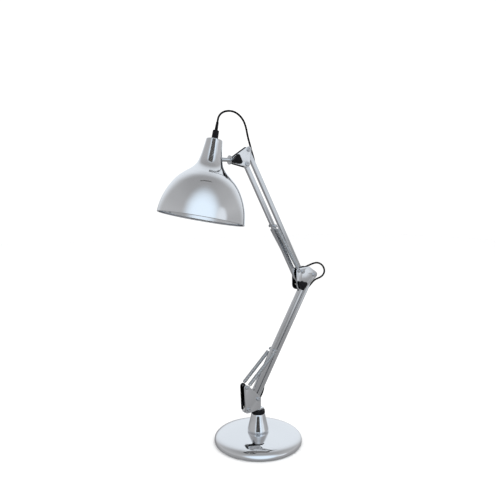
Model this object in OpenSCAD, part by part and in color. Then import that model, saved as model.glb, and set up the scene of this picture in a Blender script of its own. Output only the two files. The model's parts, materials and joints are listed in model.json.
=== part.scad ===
// Desk lamp on two sprung parallel-bar arms, with a bell shade and a weighted round foot.
// Millimetres, +Z up. The origin is the middle of the underside of the foot.
// The arms lie in the plane Y = 0 and reach away from the foot along +X, then back along -X.

/* [Foot] */
// Outer diameter of the foot
foot_d = 190; // [170:1:220]
// Height of the foot's cover above the surface
foot_h = 24; // [22:0.5:30]
// Height of the widest part of the foot's rim
rim_h = 6.5; // [5.5:0.5:8]
// Sheet thickness of the foot's cover
cover_wall = 1.4; // [1:0.1:2]
// Thickness of the soft pad under the foot
pad_t = 2.2; // [1.5:0.1:3]
// Thickness of the cast weight inside the foot
weight_t = 12; // [8:0.5:13]
// Height of the lead's outlet in the rim
outlet_z = 7.5; // [7:0.1:8.5]
// Direction of the lead outlet, from +X towards +Y
outlet_angle = 60; // [0:5:355]

/* [Stem] */
// Height of the stem's top above the surface
stem_top = 63; // [58:0.5:70]
// Radius of the stem at its widest, just above the foot
stem_foot_r = 23.2; // [22:0.1:26]
// Radius of the stem at its top
stem_top_r = 14.8; // [14.4:0.1:17]
// Wall of the stem's casting
stem_wall = 1.6; // [1.2:0.1:2.4]
// Height of the black swivel ring on the stem
ring_h = 7.5; // [5:0.5:9]
// Radius of the black swivel ring
ring_r = 14.8; // [13.5:0.1:16]
// Radius of the swivel spindle
spindle_r = 6; // [5.5:0.1:6.5]
// Radius of the lead's way through the spindle
spindle_bore_r = 3.6; // [2.6:0.1:4]

/* [Arms] */
// Pivot to pivot length of the lower arm
lower_len = 298; // [260:1:340]
// Lean of the lower arm from upright, away from the head
lower_lean = 29.4; // [24:0.1:31]
// Pivot to pivot length of the upper arm
upper_len = 294; // [260:1:340]
// Lean of the upper arm from upright, towards the head
upper_lean = 27.8; // [24:0.1:36]
// Width of the lower arm's square tubes
lower_w = 9; // [8:0.1:9.4]
// Width of the upper arm's square tubes
upper_w = 8.2; // [7.5:0.1:8.6]
// Wall of the square tubes
tube_wall = 0.9; // [0.8:0.05:1.2]
// Height of the lower arm's main pivot above the surface
foot_pivot_z = 98; // [94:0.5:104]
// Place of the lower arm's main pivot along X
foot_pivot_x = -5; // [-8:0.5:-2]
// Distance in X from the lower link's pivots to the lower arm's
lower_step_x = 24; // [23:0.1:26]
// Distance in Z from the lower link's pivots to the lower arm's
lower_step_z = 19; // [17:0.1:20]
// Distance in X from the upper link's pivots to the upper arm's
upper_step_x = 3.8; // [3:0.1:5]
// Distance in Z from the upper link's pivots to the upper arm's
upper_step_z = 29.7; // [29:0.1:31]
// Distance in X from the lower arm's elbow pivot to the upper arm's
elbow_step_x = -32; // [-34:0.5:-30]
// Distance in Z from the lower arm's elbow pivot to the upper arm's
elbow_step_z = 9; // [8:0.5:11]

// Length of the lower link's square-cut end below its pivot
link_tail = 9.5; // [5:0.5:12]

/* [Brackets] */
// Clear width between the foot bracket's plates, and the elbow's
fork_gap = 16.4; // [15.6:0.1:18]
// Sheet thickness of the brackets
plate_t = 1.6; // [1.2:0.1:2]
// Clear width between the head bracket's plates
head_gap = 12.4; // [11.6:0.1:13.6]
// Rounding of the plates about an ordinary pivot
lobe_r = 6.2; // [5.8:0.1:7]
// Rounding of the elbow plates about the clamp knob
clamp_lobe_r = 12; // [9:0.1:12.5]
// Rounding of the head plates about the shade's pivot
shade_lobe_r = 8.2; // [7.6:0.1:8.4]

/* [Pivots] */
// Radius of the pivot bolts
bolt_r = 2.5; // [2:0.1:2.8]
// Radius of the bolts' heads
bolt_head_r = 4.6; // [3.6:0.1:5]
// Height of the bolts' heads
bolt_head_h = 2.4; // [1.6:0.1:3]
// Outer radius of the plastic bushes in the tubes
bush_r = 3.4; // [3.2:0.1:3.5]
// Radius of the two clamp bolts
clamp_r = 3; // [2.6:0.1:3.2]
// Radius of a clamp knob over its lobes
knob_r = 11; // [10:0.1:12]
// Thickness of a clamp knob
knob_t = 10; // [8:0.1:12]

/* [Springs] */
// Outer radius of the springs
spring_r = 4.3; // [3.8:0.1:4.6]
// Wire radius of the springs
wire_r = 0.9; // [0.7:0.05:1]
// Number of curls on each spring
curls = 20; // [16:1:22]
// Distance of the springs' middle from the arms' middle
spring_y = 11.4; // [11.3:0.1:12]
// Place of the lower springs' cross pin along the lower link
lower_pin_at = 136; // [125:1:150]
// Place of the upper springs' cross pin along the upper link
upper_pin_at = 149; // [135:1:160]

/* [Shade] */
// Outer diameter of the shade's rim
shade_d = 176; // [160:1:190]
// Height of the shade from rim to neck top
shade_h = 160; // [155:1:165]
// Wall of the shade
shade_wall = 1; // [0.8:0.1:1.6]
// Tilt of the shade's axis, with its top leaning to +X
shade_tilt = 11; // [6:0.5:16]
// Distance of the shade's pivot from the rim, along the shade's axis
shade_pivot_up = 131; // [127:0.5:134]
// Distance of the shade's pivot from the shade's axis
shade_pivot_out = 51.5; // [49:0.5:54]
// Distance in X from the upper arm's end pivot to the shade's pivot
shade_step_x = -29.2; // [-31:0.1:-27]
// Distance in Z from the upper arm's end pivot to the shade's pivot
shade_step_z = -22.7; // [-25:0.1:-21]

/* [Lamp] */
// Outer radius of the lamp holder
holder_r = 19.5; // [18:0.5:20]
// Largest radius of the bulb
bulb_r = 30; // [28:0.5:32]
// Length of the bulb with its cap
bulb_len = 106; // [100:1:110]

/* [Cord] */
// Diameter of the lead
cord_d = 4; // [3:0.1:4.4]

/* [Hidden] */

// Fineness of round parts
$fn = 72;
// Radial clearance of a turning fit
fit = 0.05;
// Gap between flat faces that slide or turn on each other
face_gap = 0.15;
// Overlap that makes a cut break through cleanly
cut = 0.5;
// Hairline between two parts that are seated on each other
seat = 0.02;

// Directions in the arms' plane, as [x, z]
function lean(a) = [sin(a), cos(a)];
function side(a) = [cos(a), -sin(a)];

// Pivots, as [x, z]: the lower arm's, the lower link's, the elbow's and the head's
lower_step = [lower_step_x, lower_step_z];
upper_step = [upper_step_x, upper_step_z];
S1 = [foot_pivot_x, foot_pivot_z];
S2 = S1 - lower_step;
R1 = S1 + lower_len * lean(lower_lean);
R2 = R1 - lower_step;
Q1 = R1 + [elbow_step_x, elbow_step_z];
Q2 = Q1 - upper_step;
P1 = Q1 + upper_len * lean(-upper_lean);
P2 = P1 - upper_step;
K = P1 + [shade_step_x, shade_step_z];
// Middle of the shade's rim
M = K - shade_pivot_up * lean(shade_tilt) - shade_pivot_out * side(shade_tilt);
// The springs' lower anchors and cross pins
anchor_foot = S1 + [-29, 29.5];
anchor_elbow = Q1 + [-11, 2];
pin_lower = S2 + lower_pin_at * lean(lower_lean);
pin_upper = Q2 + upper_pin_at * lean(-upper_lean);

// Half widths across the arms
fork_in = fork_gap / 2;
fork_out = fork_in + plate_t;
head_in = head_gap / 2;
head_out = head_in + plate_t;
// Radius of the springs' studs and pins, of their end flanges, and how far out they reach
stud_r = 2;
stud_flange_r = stud_r + 0.9;
stud_end = spring_y + wire_r + 1;
cord_r = cord_d / 2;
chrome = [0.80, 0.81, 0.83];
steel = [0.62, 0.63, 0.65];
black = [0.07, 0.07, 0.08];
brass = [0.78, 0.62, 0.30];
nylon = [0.85, 0.85, 0.82];

// ---- helpers ----

// Puts children at a point of the arms' plane
module at(p) translate([p[0], 0, p[1]]) children();

// Frame at a point, with its Z turned by an angle towards +X
module along(p, a) at(p) rotate([0, a, 0]) children();

// Round bar across the arms, from y0 to y1
module across(r, y0, y1) translate([0, y0, 0]) rotate([-90, 0, 0]) cylinder(r = r, h = y1 - y0);

// Hexagon across the arms, from y0 to y1
module hex_across(flats, y0, y1) {
    translate([0, y0, 0])
        rotate([-90, 0, 0])
            cylinder(r = flats / 2 / cos(30), h = y1 - y0, $fn = 6);
}

// Bush or washer across the arms
module ring_across(r, bore, y0, y1) {
    difference() {
        across(r, y0, y1);
        across(bore, y0 - cut, y1 + cut);
    }
}

// Unit vector
function unit(v) = v / norm(v);

// Directions along a line of points
function headings(p) = [
    for (i = [0 : len(p) - 1]) unit(p[min(i + 1, len(p) - 1)] - p[max(i - 1, 0)])
];

// A sideways direction at each point, carried along without twist
function carried(t, first) = [
    for (i = 0, n = unit(first - (first * t[0]) * t[0]);
        i < len(t);
        i = i + 1, n = i < len(t) ? unit(n - (n * t[i]) * t[i]) : n) n
];

// Closed round tube through points, in triangles
module swept(p, r, sides, first) {
    t = headings(p);
    n = carried(t, first);
    count = len(p);
    rings = [
        for (i = [0 : count - 1], k = [0 : sides - 1])
            p[i] + r * cos(k * 360 / sides) * n[i] + r * sin(k * 360 / sides) * cross(t[i], n[i])
    ];
    walls = [
        for (i = [0 : count - 2], k = [0 : sides - 1], half = [0, 1])
            let (a = i * sides + k, b = i * sides + (k + 1) % sides)
                half == 0 ? [a, a + sides, b] : [b, a + sides, b + sides]
    ];
    start = [for (k = [1 : sides - 2]) [0, k, k + 1]];
    last = (count - 1) * sides;
    end = [for (k = [1 : sides - 2]) [last, last + k + 1, last + k]];
    polyhedron(points = rings, faces = concat(walls, start, end));
}

// Cord in the arms' plane through a list of [x, z]
module cord(route) {
    color(black) swept([for (q = route) [q[0], 0, q[1]]], cord_r, 8, [0, 1, 0]);
}

// ---- foot ----

// The rim's underside: how far it tucks in, and its depth below the rim's widest part
rim_in = 4;
rim_under = rim_h - 0.7;
// Radius of the flat middle that the top curves up to
flat_r = 20;
// How far the weight stays inside the rim
weight_in = 11;
// Hole through the cover and the weight for the lead
foot_bore_r = 11;
// The three screws from below into the stem: their circle, shanks and heads
screw_circle = 17;
screw_r = 2.4;
screw_hole_r = screw_r + 0.3;
screw_head_r = 4.6;
screw_head_h = 3.2;
screw_head_z = pad_t + 0.8;
// Radius of the outlet in the rim, and of the grommet that lines it
outlet_r = 4.2;
grommet_r = outlet_r - 0.05;
grommet_depth = 6.4;

// Outline of the foot's cover, from the rim's underside to its middle, shrunk by w
function foot_line(w) = concat(
    [
        for (a = [90 : -15 : 0])
            [foot_d / 2 - rim_in + (rim_in - w) * pow(cos(a), 0.8), rim_h - (rim_under - w) * pow(sin(a), 0.8)]
    ],
    [
        for (a = [7.5 : 7.5 : 90])
            let (r = foot_d / 2 - flat_r - w, h = foot_h - rim_h - w)
                [flat_r + r * pow(cos(a), 0.67), rim_h + h * pow(sin(a), 0.91)]
    ]
);

module foot_pad() {
    color([0.12, 0.12, 0.12]) cylinder(r = foot_d / 2 - rim_in - 0.4, h = pad_t);
}

module foot_weight() {
    color([0.25, 0.25, 0.27]) difference() {
        translate([0, 0, pad_t]) union() {
            cylinder(r = foot_d / 2 - weight_in, h = weight_t - 4);
            cylinder(r = foot_d / 2 - weight_in - 8, h = weight_t);
        }
        cylinder(r = foot_bore_r, h = foot_h);
        foot_screw_places() translate([0, 0, pad_t - cut])
            cylinder(r = screw_head_r + 0.6, h = screw_head_h + 1 + cut);
        foot_screw_places() cylinder(r = screw_hole_r, h = foot_h);
        rotate([0, 0, outlet_angle]) translate([0, -cord_r - 1, 0]) {
            cube([foot_d, cord_d + 2, outlet_z + cord_r + 0.6]);
            cube([2 * foot_bore_r - 1, cord_d + 2, foot_h]);
        }
    }
}

module foot_screw_places() {
    for (a = [60, 180, 300]) rotate([0, 0, outlet_angle + a]) translate([screw_circle, 0, 0]) children();
}

module foot_screws() {
    color(steel) foot_screw_places() translate([0, 0, screw_head_z]) {
        cylinder(r = screw_head_r, h = screw_head_h);
        translate([0, 0, screw_head_h - 0.1]) cylinder(r = screw_r, h = foot_h + 1);
    }
}

module foot_cover() {
    inner = [for (i = [len(foot_line(0)) - 1 : -1 : 0]) foot_line(cover_wall)[i]];
    color(chrome) difference() {
        rotate_extrude($fn = 120)
            polygon(concat(foot_line(0), [[0, foot_h]], [[0, foot_h - cover_wall]], inner));
        cylinder(r = foot_bore_r, h = 2 * foot_h);
        foot_screw_places() cylinder(r = screw_hole_r, h = 2 * foot_h);
        rotate([0, 0, outlet_angle]) translate([foot_d / 2 - weight_in, 0, outlet_z]) rotate([0, 90, 0])
            cylinder(r = outlet_r, h = weight_in + 2);
    }
}

module outlet_grommet() {
    color(black) rotate([0, 0, outlet_angle]) translate([foot_d / 2, 0, outlet_z]) rotate([0, 90, 0])
        difference() {
            union() {
                translate([0, 0, -grommet_depth]) cylinder(r = grommet_r, h = grommet_depth + 0.1);
                translate([0, 0, 0.05]) cylinder(r1 = outlet_r + 1.4, r2 = outlet_r + 0.4, h = 2);
                translate([0, 0, -grommet_depth]) cylinder(r = outlet_r + 0.9, h = 1.4);
            }
            translate([0, 0, -grommet_depth - cut]) cylinder(r = cord_r + fit, h = 10);
        }
}

// Lead inside the foot, in the plane of the outlet: points as [distance, height]
foot_route = concat(
    [[0, 34], [0, 28], [0.6, 22.5], [3, 17.4], [7.2, 13.2], [13, 10.2], [20, outlet_z + 1]],
    [for (i = [0 : 5]) [30 + i * (foot_d / 2 - 35) / 5, outlet_z]]
);

module foot_lead() {
    color(black) rotate([0, 0, outlet_angle])
        swept([for (q = foot_route) [q[0], 0, q[1]]], cord_r, 8, [0, 1, 0]);
}

// ---- stem and swivel ----

// The swivel ring's spigot in the stem, and the sleeve below it that the spindle turns in
spigot_r = 12;
spigot_h = 6;
sleeve_h = 18;
sleeve_wall = 2.6;
sleeve_foot = stem_top - spigot_h - sleeve_h;
// The rounding round the stem's foot: its width and height
bead_w = 3.2;
bead_h = 4.4;
// Thickness of the stem's bottom, and the radius of the lead's way through it
bottom_t = 6;
bottom_bore_r = 9;
// Two points of the stem's side below its top, as [radius, height]
waist = [
    [stem_foot_r * 0.88, foot_h + 14.5],
    [(stem_foot_r + stem_top_r) * 0.467, foot_h + 24.5]
];

// Outline of the stem from its foot to its top
function stem_line() = concat(
    [
        for (a = [-60 : 16 : 20])
            [stem_foot_r - bead_w + bead_w * cos(a), foot_h + bead_h * (sin(60) + sin(a))]
    ],
    waist,
    [[stem_top_r, stem_top]]
);

// Inner outline of the stem above its bottom
function stem_inside() = concat(
    [[stem_foot_r - bead_w, foot_h + bottom_t]],
    [for (q = waist) [q[0] - stem_wall, q[1]]],
    [[stem_top_r - stem_wall, stem_top + cut]]
);

module stem() {
    body = concat([[0, foot_h]], stem_line(), [[0, stem_top]]);
    color(chrome) difference() {
        rotate_extrude() union() {
            difference() {
                polygon(body);
                polygon(concat([[0, foot_h + bottom_t]], stem_inside(), [[0, stem_top + cut]]));
            }
            intersection() {
                polygon(body);
                union() {
                    translate([spindle_r + fit, sleeve_foot]) square([sleeve_wall, sleeve_h - 0.1]);
                    translate([spindle_r + fit, sleeve_foot]) square([stem_foot_r, 3]);
                    translate([spigot_r + fit, stem_top - spigot_h - 1]) square([stem_foot_r, spigot_h + 1]);
                }
            }
        }
        translate([0, 0, foot_h - cut]) cylinder(r = bottom_bore_r, h = bottom_t + 2 * cut);
        foot_screw_places() translate([0, 0, foot_h - cut])
            cylinder(r = screw_r + fit, h = bottom_t + 0.2 + cut);
    }
}

module swivel_ring() {
    color(black) translate([0, 0, stem_top]) difference() {
        union() {
            rotate_extrude() polygon([
                [0, seat], [ring_r, seat], [ring_r, ring_h - 1.2], [ring_r - 1.2, ring_h], [0, ring_h]
            ]);
            translate([0, 0, -spigot_h + 0.1]) cylinder(r = spigot_r, h = spigot_h);
        }
        translate([0, 0, -spigot_h - cut]) cylinder(r = spindle_r + fit, h = ring_h + spigot_h + 2 * cut);
    }
}

ring_top = stem_top + ring_h;
// The clip that holds the spindle down: its thickness, underside, and depth in the spindle
clip_t = 1;
clip_z = sleeve_foot - clip_t - 0.2;
clip_in = 0.75;
spindle_foot = clip_z - 2.5;
// Radius of the spindle's flange, and the height of the bracket's web on it
flange_r = 9;
web_z = ring_top + 4;

module spindle() {
    color(steel) difference() {
        union() {
            translate([0, 0, spindle_foot]) cylinder(r = spindle_r, h = ring_top - spindle_foot + 2);
            translate([0, 0, ring_top + face_gap]) cylinder(r = flange_r, h = web_z - ring_top - face_gap);
            translate([0, 0, web_z - cut]) cylinder(r = spindle_r - 0.5, h = plate_t + cut + 0.4);
        }
        translate([0, 0, spindle_foot - cut]) cylinder(r = spindle_bore_r, h = stem_top);
        translate([0, 0, clip_z - 0.1]) difference() {
            cylinder(r = spindle_r + 1, h = clip_t + 0.2);
            cylinder(r = spindle_r - clip_in - fit, h = clip_t + 0.2);
        }
    }
}

module spindle_clip() {
    color(steel) translate([0, 0, clip_z]) difference() {
        cylinder(r = spindle_r + 2.4, h = clip_t);
        translate([0, 0, -cut]) cylinder(r = spindle_r - clip_in, h = clip_t + 2 * cut);
        translate([0, -2.5, -cut]) cube([2 * spindle_r, 5, clip_t + 2 * cut]);
    }
}

// ---- foot bracket ----

// Outline of one foot bracket plate
module foot_plate_shape() {
    hull() {
        translate(S1) circle(r = lobe_r, $fn = 32);
        translate(S2) circle(r = lobe_r + 2, $fn = 32);
        translate(anchor_foot) circle(r = lobe_r - 0.6, $fn = 32);
        translate([S1[0] + 0.5, web_z + lobe_r - 0.2]) circle(r = lobe_r - 0.5, $fn = 32);
    }
}

// Sheet in the arms' plane between y0 and y0 + t
module sheet(y0, t) translate([0, y0 + t, 0]) rotate([90, 0, 0]) linear_extrude(t) children();

module foot_bracket() {
    color(chrome) difference() {
        union() {
            sheet(-fork_out, plate_t) foot_plate_shape();
            sheet(fork_in, plate_t) foot_plate_shape();
            intersection() {
                translate([-12, -fork_out, web_z]) cube([21, 2 * fork_out, plate_t]);
                cylinder(r = 13.2, h = web_z + plate_t);
            }
        }
        for (p = [S1, S2]) at(p) bracket_hole(bolt_r + fit);
        at(anchor_foot) bracket_hole(stud_r);
        translate([0, 0, web_z - cut]) cylinder(r = spindle_r - 0.45, h = plate_t + 2 * cut);
    }
}

// Hole through both plates of a bracket
module bracket_hole(r) across(r, -2 * fork_out, 2 * fork_out);

// Heights of a nut and of the dome on it, its width over flats and its dome's radius
nut_h = 3.6;
nut_dome_h = 0.8;
nut_flats = 8;
nut_dome_r = 3.6;
// Hexagon socket in a bolt's head: width over flats and depth
socket_flats = 3;
socket_depth = 1.2;
// Height and narrowing of the step at a bolt head's face
head_step = 0.7;

// Bolt through a bracket, its head on the near side and its thread past the far plate
module pivot_bolt(p, out) {
    face = -out - bolt_head_h;
    at(p) {
        across(bolt_r, -out - 0.2, out + nut_h);
        difference() {
            union() {
                across(bolt_head_r, face + head_step, -out - seat);
                across(bolt_head_r - head_step - 0.2, face, face + head_step + 0.1);
            }
            hex_across(socket_flats, face - cut, face + socket_depth);
        }
    }
}

// Dome nut on a bolt's far end
module pivot_nut(p, out) {
    at(p) difference() {
        union() {
            hex_across(nut_flats, out + seat, out + nut_h);
            across(nut_dome_r, out + nut_h - 0.1, out + nut_h + nut_dome_h);
        }
        across(bolt_r + seat, out - cut, out + nut_h + 0.3);
    }
}

// Flush rivet through a bracket
module rivet(p, out) {
    at(p) {
        across(bolt_r, -out - 0.3, out + 0.3);
        for (s = [0, 1]) mirror([0, s, 0]) across(bolt_r + 0.6, out + seat, out + 0.7);
    }
}

module foot_bolts() {
    color(steel) {
        pivot_bolt(S1, fork_out);
        pivot_bolt(S2, fork_out);
    }
}

module foot_nuts() {
    color(steel) {
        pivot_nut(S1, fork_out);
        pivot_nut(S2, fork_out);
    }
}

// Two stub pins that the springs hook on, one on each plate
module spring_studs(p) {
    color(steel) at(p) for (s = [0, 1]) mirror([0, s, 0]) {
        across(stud_r - 0.01, fork_in + 0.1, stud_end);
        across(stud_flange_r, stud_end - 0.7, stud_end);
        across(stud_flange_r + 0.1, fork_out + seat, fork_out + 0.5);
    }
}

module foot_spring_studs() spring_studs(anchor_foot);
module elbow_spring_studs() spring_studs(anchor_elbow);

// ---- springs ----

eye_r = stud_r + wire_r + 0.15;
coil_r = spring_r - wire_r;
hook = 7.5;

// Centre line of a spring from an eye at z = 0 to an eye at z = l, its axis on Z
function spring_line(l) = concat(
    [for (a = [-240 : 30 : 0]) [eye_r * cos(a), 0, eye_r * sin(a)]],
    [[eye_r, 0, 2.2], [eye_r - 0.05, 0.15, 4.4], [coil_r + 0.1, 0.9, 6.2]],
    [
        for (i = [0 : curls * 8])
            let (a = 30 + 360 * i / 8 * (curls - 1 / 6) / curls)
                [coil_r * cos(a), coil_r * sin(a), hook + (l - 2 * hook) * i / (curls * 8)]
    ],
    [[coil_r + 0.1, -0.9, l - 6.2], [eye_r - 0.05, -0.15, l - 4.4], [eye_r, 0, l - 2.2]],
    [for (a = [0 : 30 : 240]) [eye_r * cos(a), 0, l + eye_r * sin(a)]]
);

// Least gap between parts of a line that are at least six points apart, less the wire
function least_gap(p, w) = min([
    for (i = [0 : len(p) - 8])
        min([for (j = [i + 7 : min(i + 26, len(p) - 1)]) norm(p[i] - p[j])]) - w
]);

module spring(p, q, y) {
    l = norm(q - p);
    line = spring_line(l);
    echo("spring: rings, least gap to itself", len(line), least_gap(line, 2 * wire_r));
    color(steel) translate([0, y, 0]) along(p, atan2(q[0] - p[0], q[1] - p[1]))
        swept(line, wire_r, 6, [0, 1, 0]);
}

module lower_spring_near() spring(anchor_foot, pin_lower, -spring_y);
module lower_spring_far() spring(anchor_foot, pin_lower, spring_y);
module upper_spring_near() spring(anchor_elbow, pin_upper, -spring_y);
module upper_spring_far() spring(anchor_elbow, pin_upper, spring_y);

// ---- arms ----

// Square tube between two pivots at z = 0 and z = l, with bush holes. Its ends are round,
// or the lower one runs on past its pivot by a tail and is cut square
module arm_tube(l, w, tail = 0) {
    inner = w - 2 * tube_wall;
    difference() {
        union() {
            translate([-w / 2, -w / 2, -tail]) cube([w, w, l + tail]);
            for (z = [0, l]) translate([0, 0, z]) across(w / 2, -w / 2, w / 2);
        }
        translate([-inner / 2, -inner / 2, -w - tail]) cube([inner, inner, l + tail + 2 * w]);
        for (z = [0, l]) translate([0, 0, z]) across(bush_r + seat, -w, w);
    }
}

// Radius of a hole that the lead passes through freely
lead_hole_r = cord_r + 0.3;

// Long slot in a tube's +X face, where the lead goes in or out
module lead_slot(w, z0, z1) {
    for (z = [z0, z1]) translate([0, 0, z]) rotate([0, 90, 0]) cylinder(r = lead_hole_r, h = w);
    translate([0, -lead_hole_r, z0]) cube([w, 2 * lead_hole_r, z1 - z0]);
}

// The bushes at a tube's two pivots
module arm_bushes(l, half) {
    for (z = [0, l]) translate([0, 0, z])
        ring_across(bush_r, bolt_r + fit, -half + face_gap, half - face_gap);
}

// Where the tubes' lead and its slots begin and end, up from each arm's lower pivot
lower_lead_ends = [48.5, lower_len - 51.5];
lower_slots = [[24, 41], [lower_len - 43, lower_len - 26]];
upper_lead_ends = [18.5, upper_len - 48.5];
upper_slots = [[6.6, 15.2], [upper_len - 42, upper_len - 25]];

module tube_lead(ends) {
    color(black) translate([0, 0, ends[0]]) cylinder(r = cord_r, h = ends[1] - ends[0]);
}

module lower_bar() {
    color(chrome) along(S1, lower_lean) difference() {
        arm_tube(lower_len, lower_w);
        for (q = lower_slots) lead_slot(lower_w, q[0], q[1]);
    }
}

module lower_bar_bushes() {
    color(nylon) along(S1, lower_lean) arm_bushes(lower_len, fork_in);
}

module lower_lead() along(S1, lower_lean) tube_lead(lower_lead_ends);

module lower_link() {
    color(chrome) along(S2, lower_lean) difference() {
        arm_tube(lower_len, lower_w, link_tail);
        translate([0, 0, lower_pin_at]) across(stud_r, -lower_w, lower_w);
    }
}

module lower_link_bushes() {
    color(nylon) along(S2, lower_lean) arm_bushes(lower_len, fork_in);
}

module cross_pin() {
    color(steel) {
        across(stud_r - 0.01, -stud_end, stud_end);
        for (s = [0, 1]) mirror([0, s, 0]) across(stud_flange_r, stud_end - 0.7, stud_end);
    }
}

module lower_cross_pin() at(pin_lower) cross_pin();

module upper_bar() {
    color(chrome) along(Q1, -upper_lean) difference() {
        arm_tube(upper_len, upper_w);
        for (q = upper_slots) lead_slot(upper_w, q[0], q[1]);
    }
}

module upper_bar_bushes() {
    color(nylon) {
        along(Q1, -upper_lean)
            ring_across(bush_r, bolt_r + fit, -fork_in + face_gap, fork_in - face_gap);
        at(P1) ring_across(bush_r, bolt_r + fit, -head_in + face_gap, head_in - face_gap);
    }
}

module upper_lead() along(Q1, -upper_lean) tube_lead(upper_lead_ends);

module upper_link() {
    color(chrome) along(Q2, -upper_lean) difference() {
        arm_tube(upper_len, upper_w);
        translate([0, 0, upper_pin_at]) across(stud_r, -upper_w, upper_w);
    }
}

module upper_link_bushes() {
    color(nylon) {
        at(Q2) ring_across(bush_r, elbow_clamp_r + fit, -fork_in + face_gap, fork_in - face_gap);
        at(P2) ring_across(bush_r, bolt_r + fit, -head_in + face_gap, head_in - face_gap);
    }
}

module upper_cross_pin() at(pin_upper) cross_pin();

// ---- elbow ----

// The elbow's clamp bolt, which the upper link turns on
elbow_clamp_r = clamp_r - 0.5;

module elbow_plate_shape() {
    hull() {
        translate(anchor_elbow) circle(r = lobe_r - 0.8, $fn = 32);
        translate(Q1 + [13, -3]) circle(r = 13, $fn = 32);
        translate(R1) circle(r = lobe_r + 1.5, $fn = 32);
        translate(R2) circle(r = lobe_r + 2, $fn = 32);
        translate(Q2) circle(r = clamp_lobe_r, $fn = 32);
    }
}

module elbow_plate(y0) {
    color(chrome) difference() {
        sheet(y0, plate_t) elbow_plate_shape();
        for (p = [R1, R2, Q1]) at(p) bracket_hole(bolt_r + fit);
        at(Q2) bracket_hole(elbow_clamp_r + fit);
        at(anchor_elbow) bracket_hole(stud_r);
    }
}

module elbow_plate_near() elbow_plate(-fork_out);
module elbow_plate_far() elbow_plate(fork_in);

module elbow_bolts() {
    color(steel) {
        pivot_bolt(R1, fork_out);
        pivot_bolt(Q1, fork_out);
        rivet(R2, fork_out);
    }
}

module elbow_nuts() {
    color(steel) {
        pivot_nut(R1, fork_out);
        pivot_nut(Q1, fork_out);
    }
}

// The clamp bolts' washers
clamp_washer_r = 6;
clamp_washer_t = 1.5;
// The knobs: gap to the plate, radius of a lobe's end, height of the hub behind the lobes
knob_gap = 0.3;
lobe_end_r = 4.6;
knob_hub_t = 2.6;
insert_r = 4;

// Clamp bolt: head and washer on the far side, thread on the near side
module clamp_bolt(p, r, out) {
    color(steel) at(p) {
        across(r, -out - knob_t + 3, out + 0.2);
        across(clamp_washer_r, out + seat, out + clamp_washer_t + 0.1);
        across(4.2, out + clamp_washer_t, out + clamp_washer_t + 1.9);
    }
}

module elbow_clamp_bolt() clamp_bolt(Q2, elbow_clamp_r, fork_out);

// Three-lobed clamp knob on the near side, round a brass insert
module knob(p, turn, out) {
    y1 = -out - knob_gap;
    y0 = y1 - knob_t;
    color(black) at(p) rotate([0, turn, 0]) difference() {
        union() {
            across(knob_r * 0.66, y0, y1);
            for (a = [0, 120, 240]) rotate([0, a, 0]) translate([0, 0, knob_r - lobe_end_r])
                across(lobe_end_r, y0 + 1, y1 - knob_hub_t);
            across(knob_r * 0.5, y0 - 0.8, y0 + 0.2);
        }
        across(insert_r + fit, y0 + 2.4, y1 + cut);
    }
}

module elbow_knob() knob(Q2, -20, fork_out);

module knob_insert(p, r, out) {
    y1 = -out - knob_gap;
    color(brass) at(p) ring_across(insert_r, r + fit, y1 - knob_t + 2.5, y1);
}

module elbow_knob_insert() knob_insert(Q2, elbow_clamp_r, fork_out);

// ---- head bracket ----

module head_plate_shape() {
    hull() {
        translate(P1) circle(r = lobe_r, $fn = 32);
        translate(P2) circle(r = lobe_r + 0.4, $fn = 32);
        translate(K) circle(r = shade_lobe_r, $fn = 32);
    }
}

module head_plate(y0) {
    color(chrome) difference() {
        sheet(y0, plate_t) head_plate_shape();
        for (p = [P1, P2]) at(p) bracket_hole(bolt_r + fit);
        at(K) bracket_hole(clamp_r + fit);
    }
}

module head_plate_near() head_plate(-head_out);
module head_plate_far() head_plate(head_in);

module head_bolts() {
    color(steel) {
        pivot_bolt(P1, head_out);
        pivot_bolt(P2, head_out);
    }
}

module head_nuts() {
    color(steel) {
        pivot_nut(P1, head_out);
        pivot_nut(P2, head_out);
    }
}

// The stud's flat end between the head plates: its thickness and its rounding
tongue_t = 8;
tongue_r = 7;

module head_washers() {
    color(black) at(K) for (s = [0, 1]) mirror([0, s, 0])
        ring_across(tongue_r, clamp_r + fit, tongue_t / 2 + 0.1, head_in - seat);
}

module head_clamp_bolt() clamp_bolt(K, clamp_r, head_out);
module head_knob() knob(K, 35, head_out);
module head_knob_insert() knob_insert(K, clamp_r, head_out);

// ---- shade ----

// Frame of the shade: its rim's middle at the origin and its axis on Z
module in_shade() along(M, shade_tilt) children();

// Outer outline of the shade from rim to neck top, as [radius, height], shrunk by w
function shade_line(w) = [
    for (q = [
        [1, 0], [0.996, 0.03], [0.984, 0.085], [0.962, 0.15], [0.930, 0.213], [0.885, 0.28],
        [0.825, 0.35], [0.752, 0.419], [0.66, 0.484], [0.56, 0.537], [0.465, 0.58], [0.385, 0.62],
        [0.325, 0.66], [0.284, 0.705], [0.257, 0.755], [0.236, 0.81], [0.216, 0.88], [0.198, 0.95],
        [0.188, 1]
    ]) [q[0] * shade_d / 2 - w, q[1] * shade_h]
];

// The rolled bead at the shade's rim, and the threaded tube through its neck
rim_bead_r = 1.2;
nipple_r = 5;
// The stud that carries the shade: its thread, its shank, and the disc on it
stud_thread_r = 3;
stud_shank_r = 4.2;
disc_r = 9.4;
disc_t = 2.8;
disc_at = 10.2;

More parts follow.
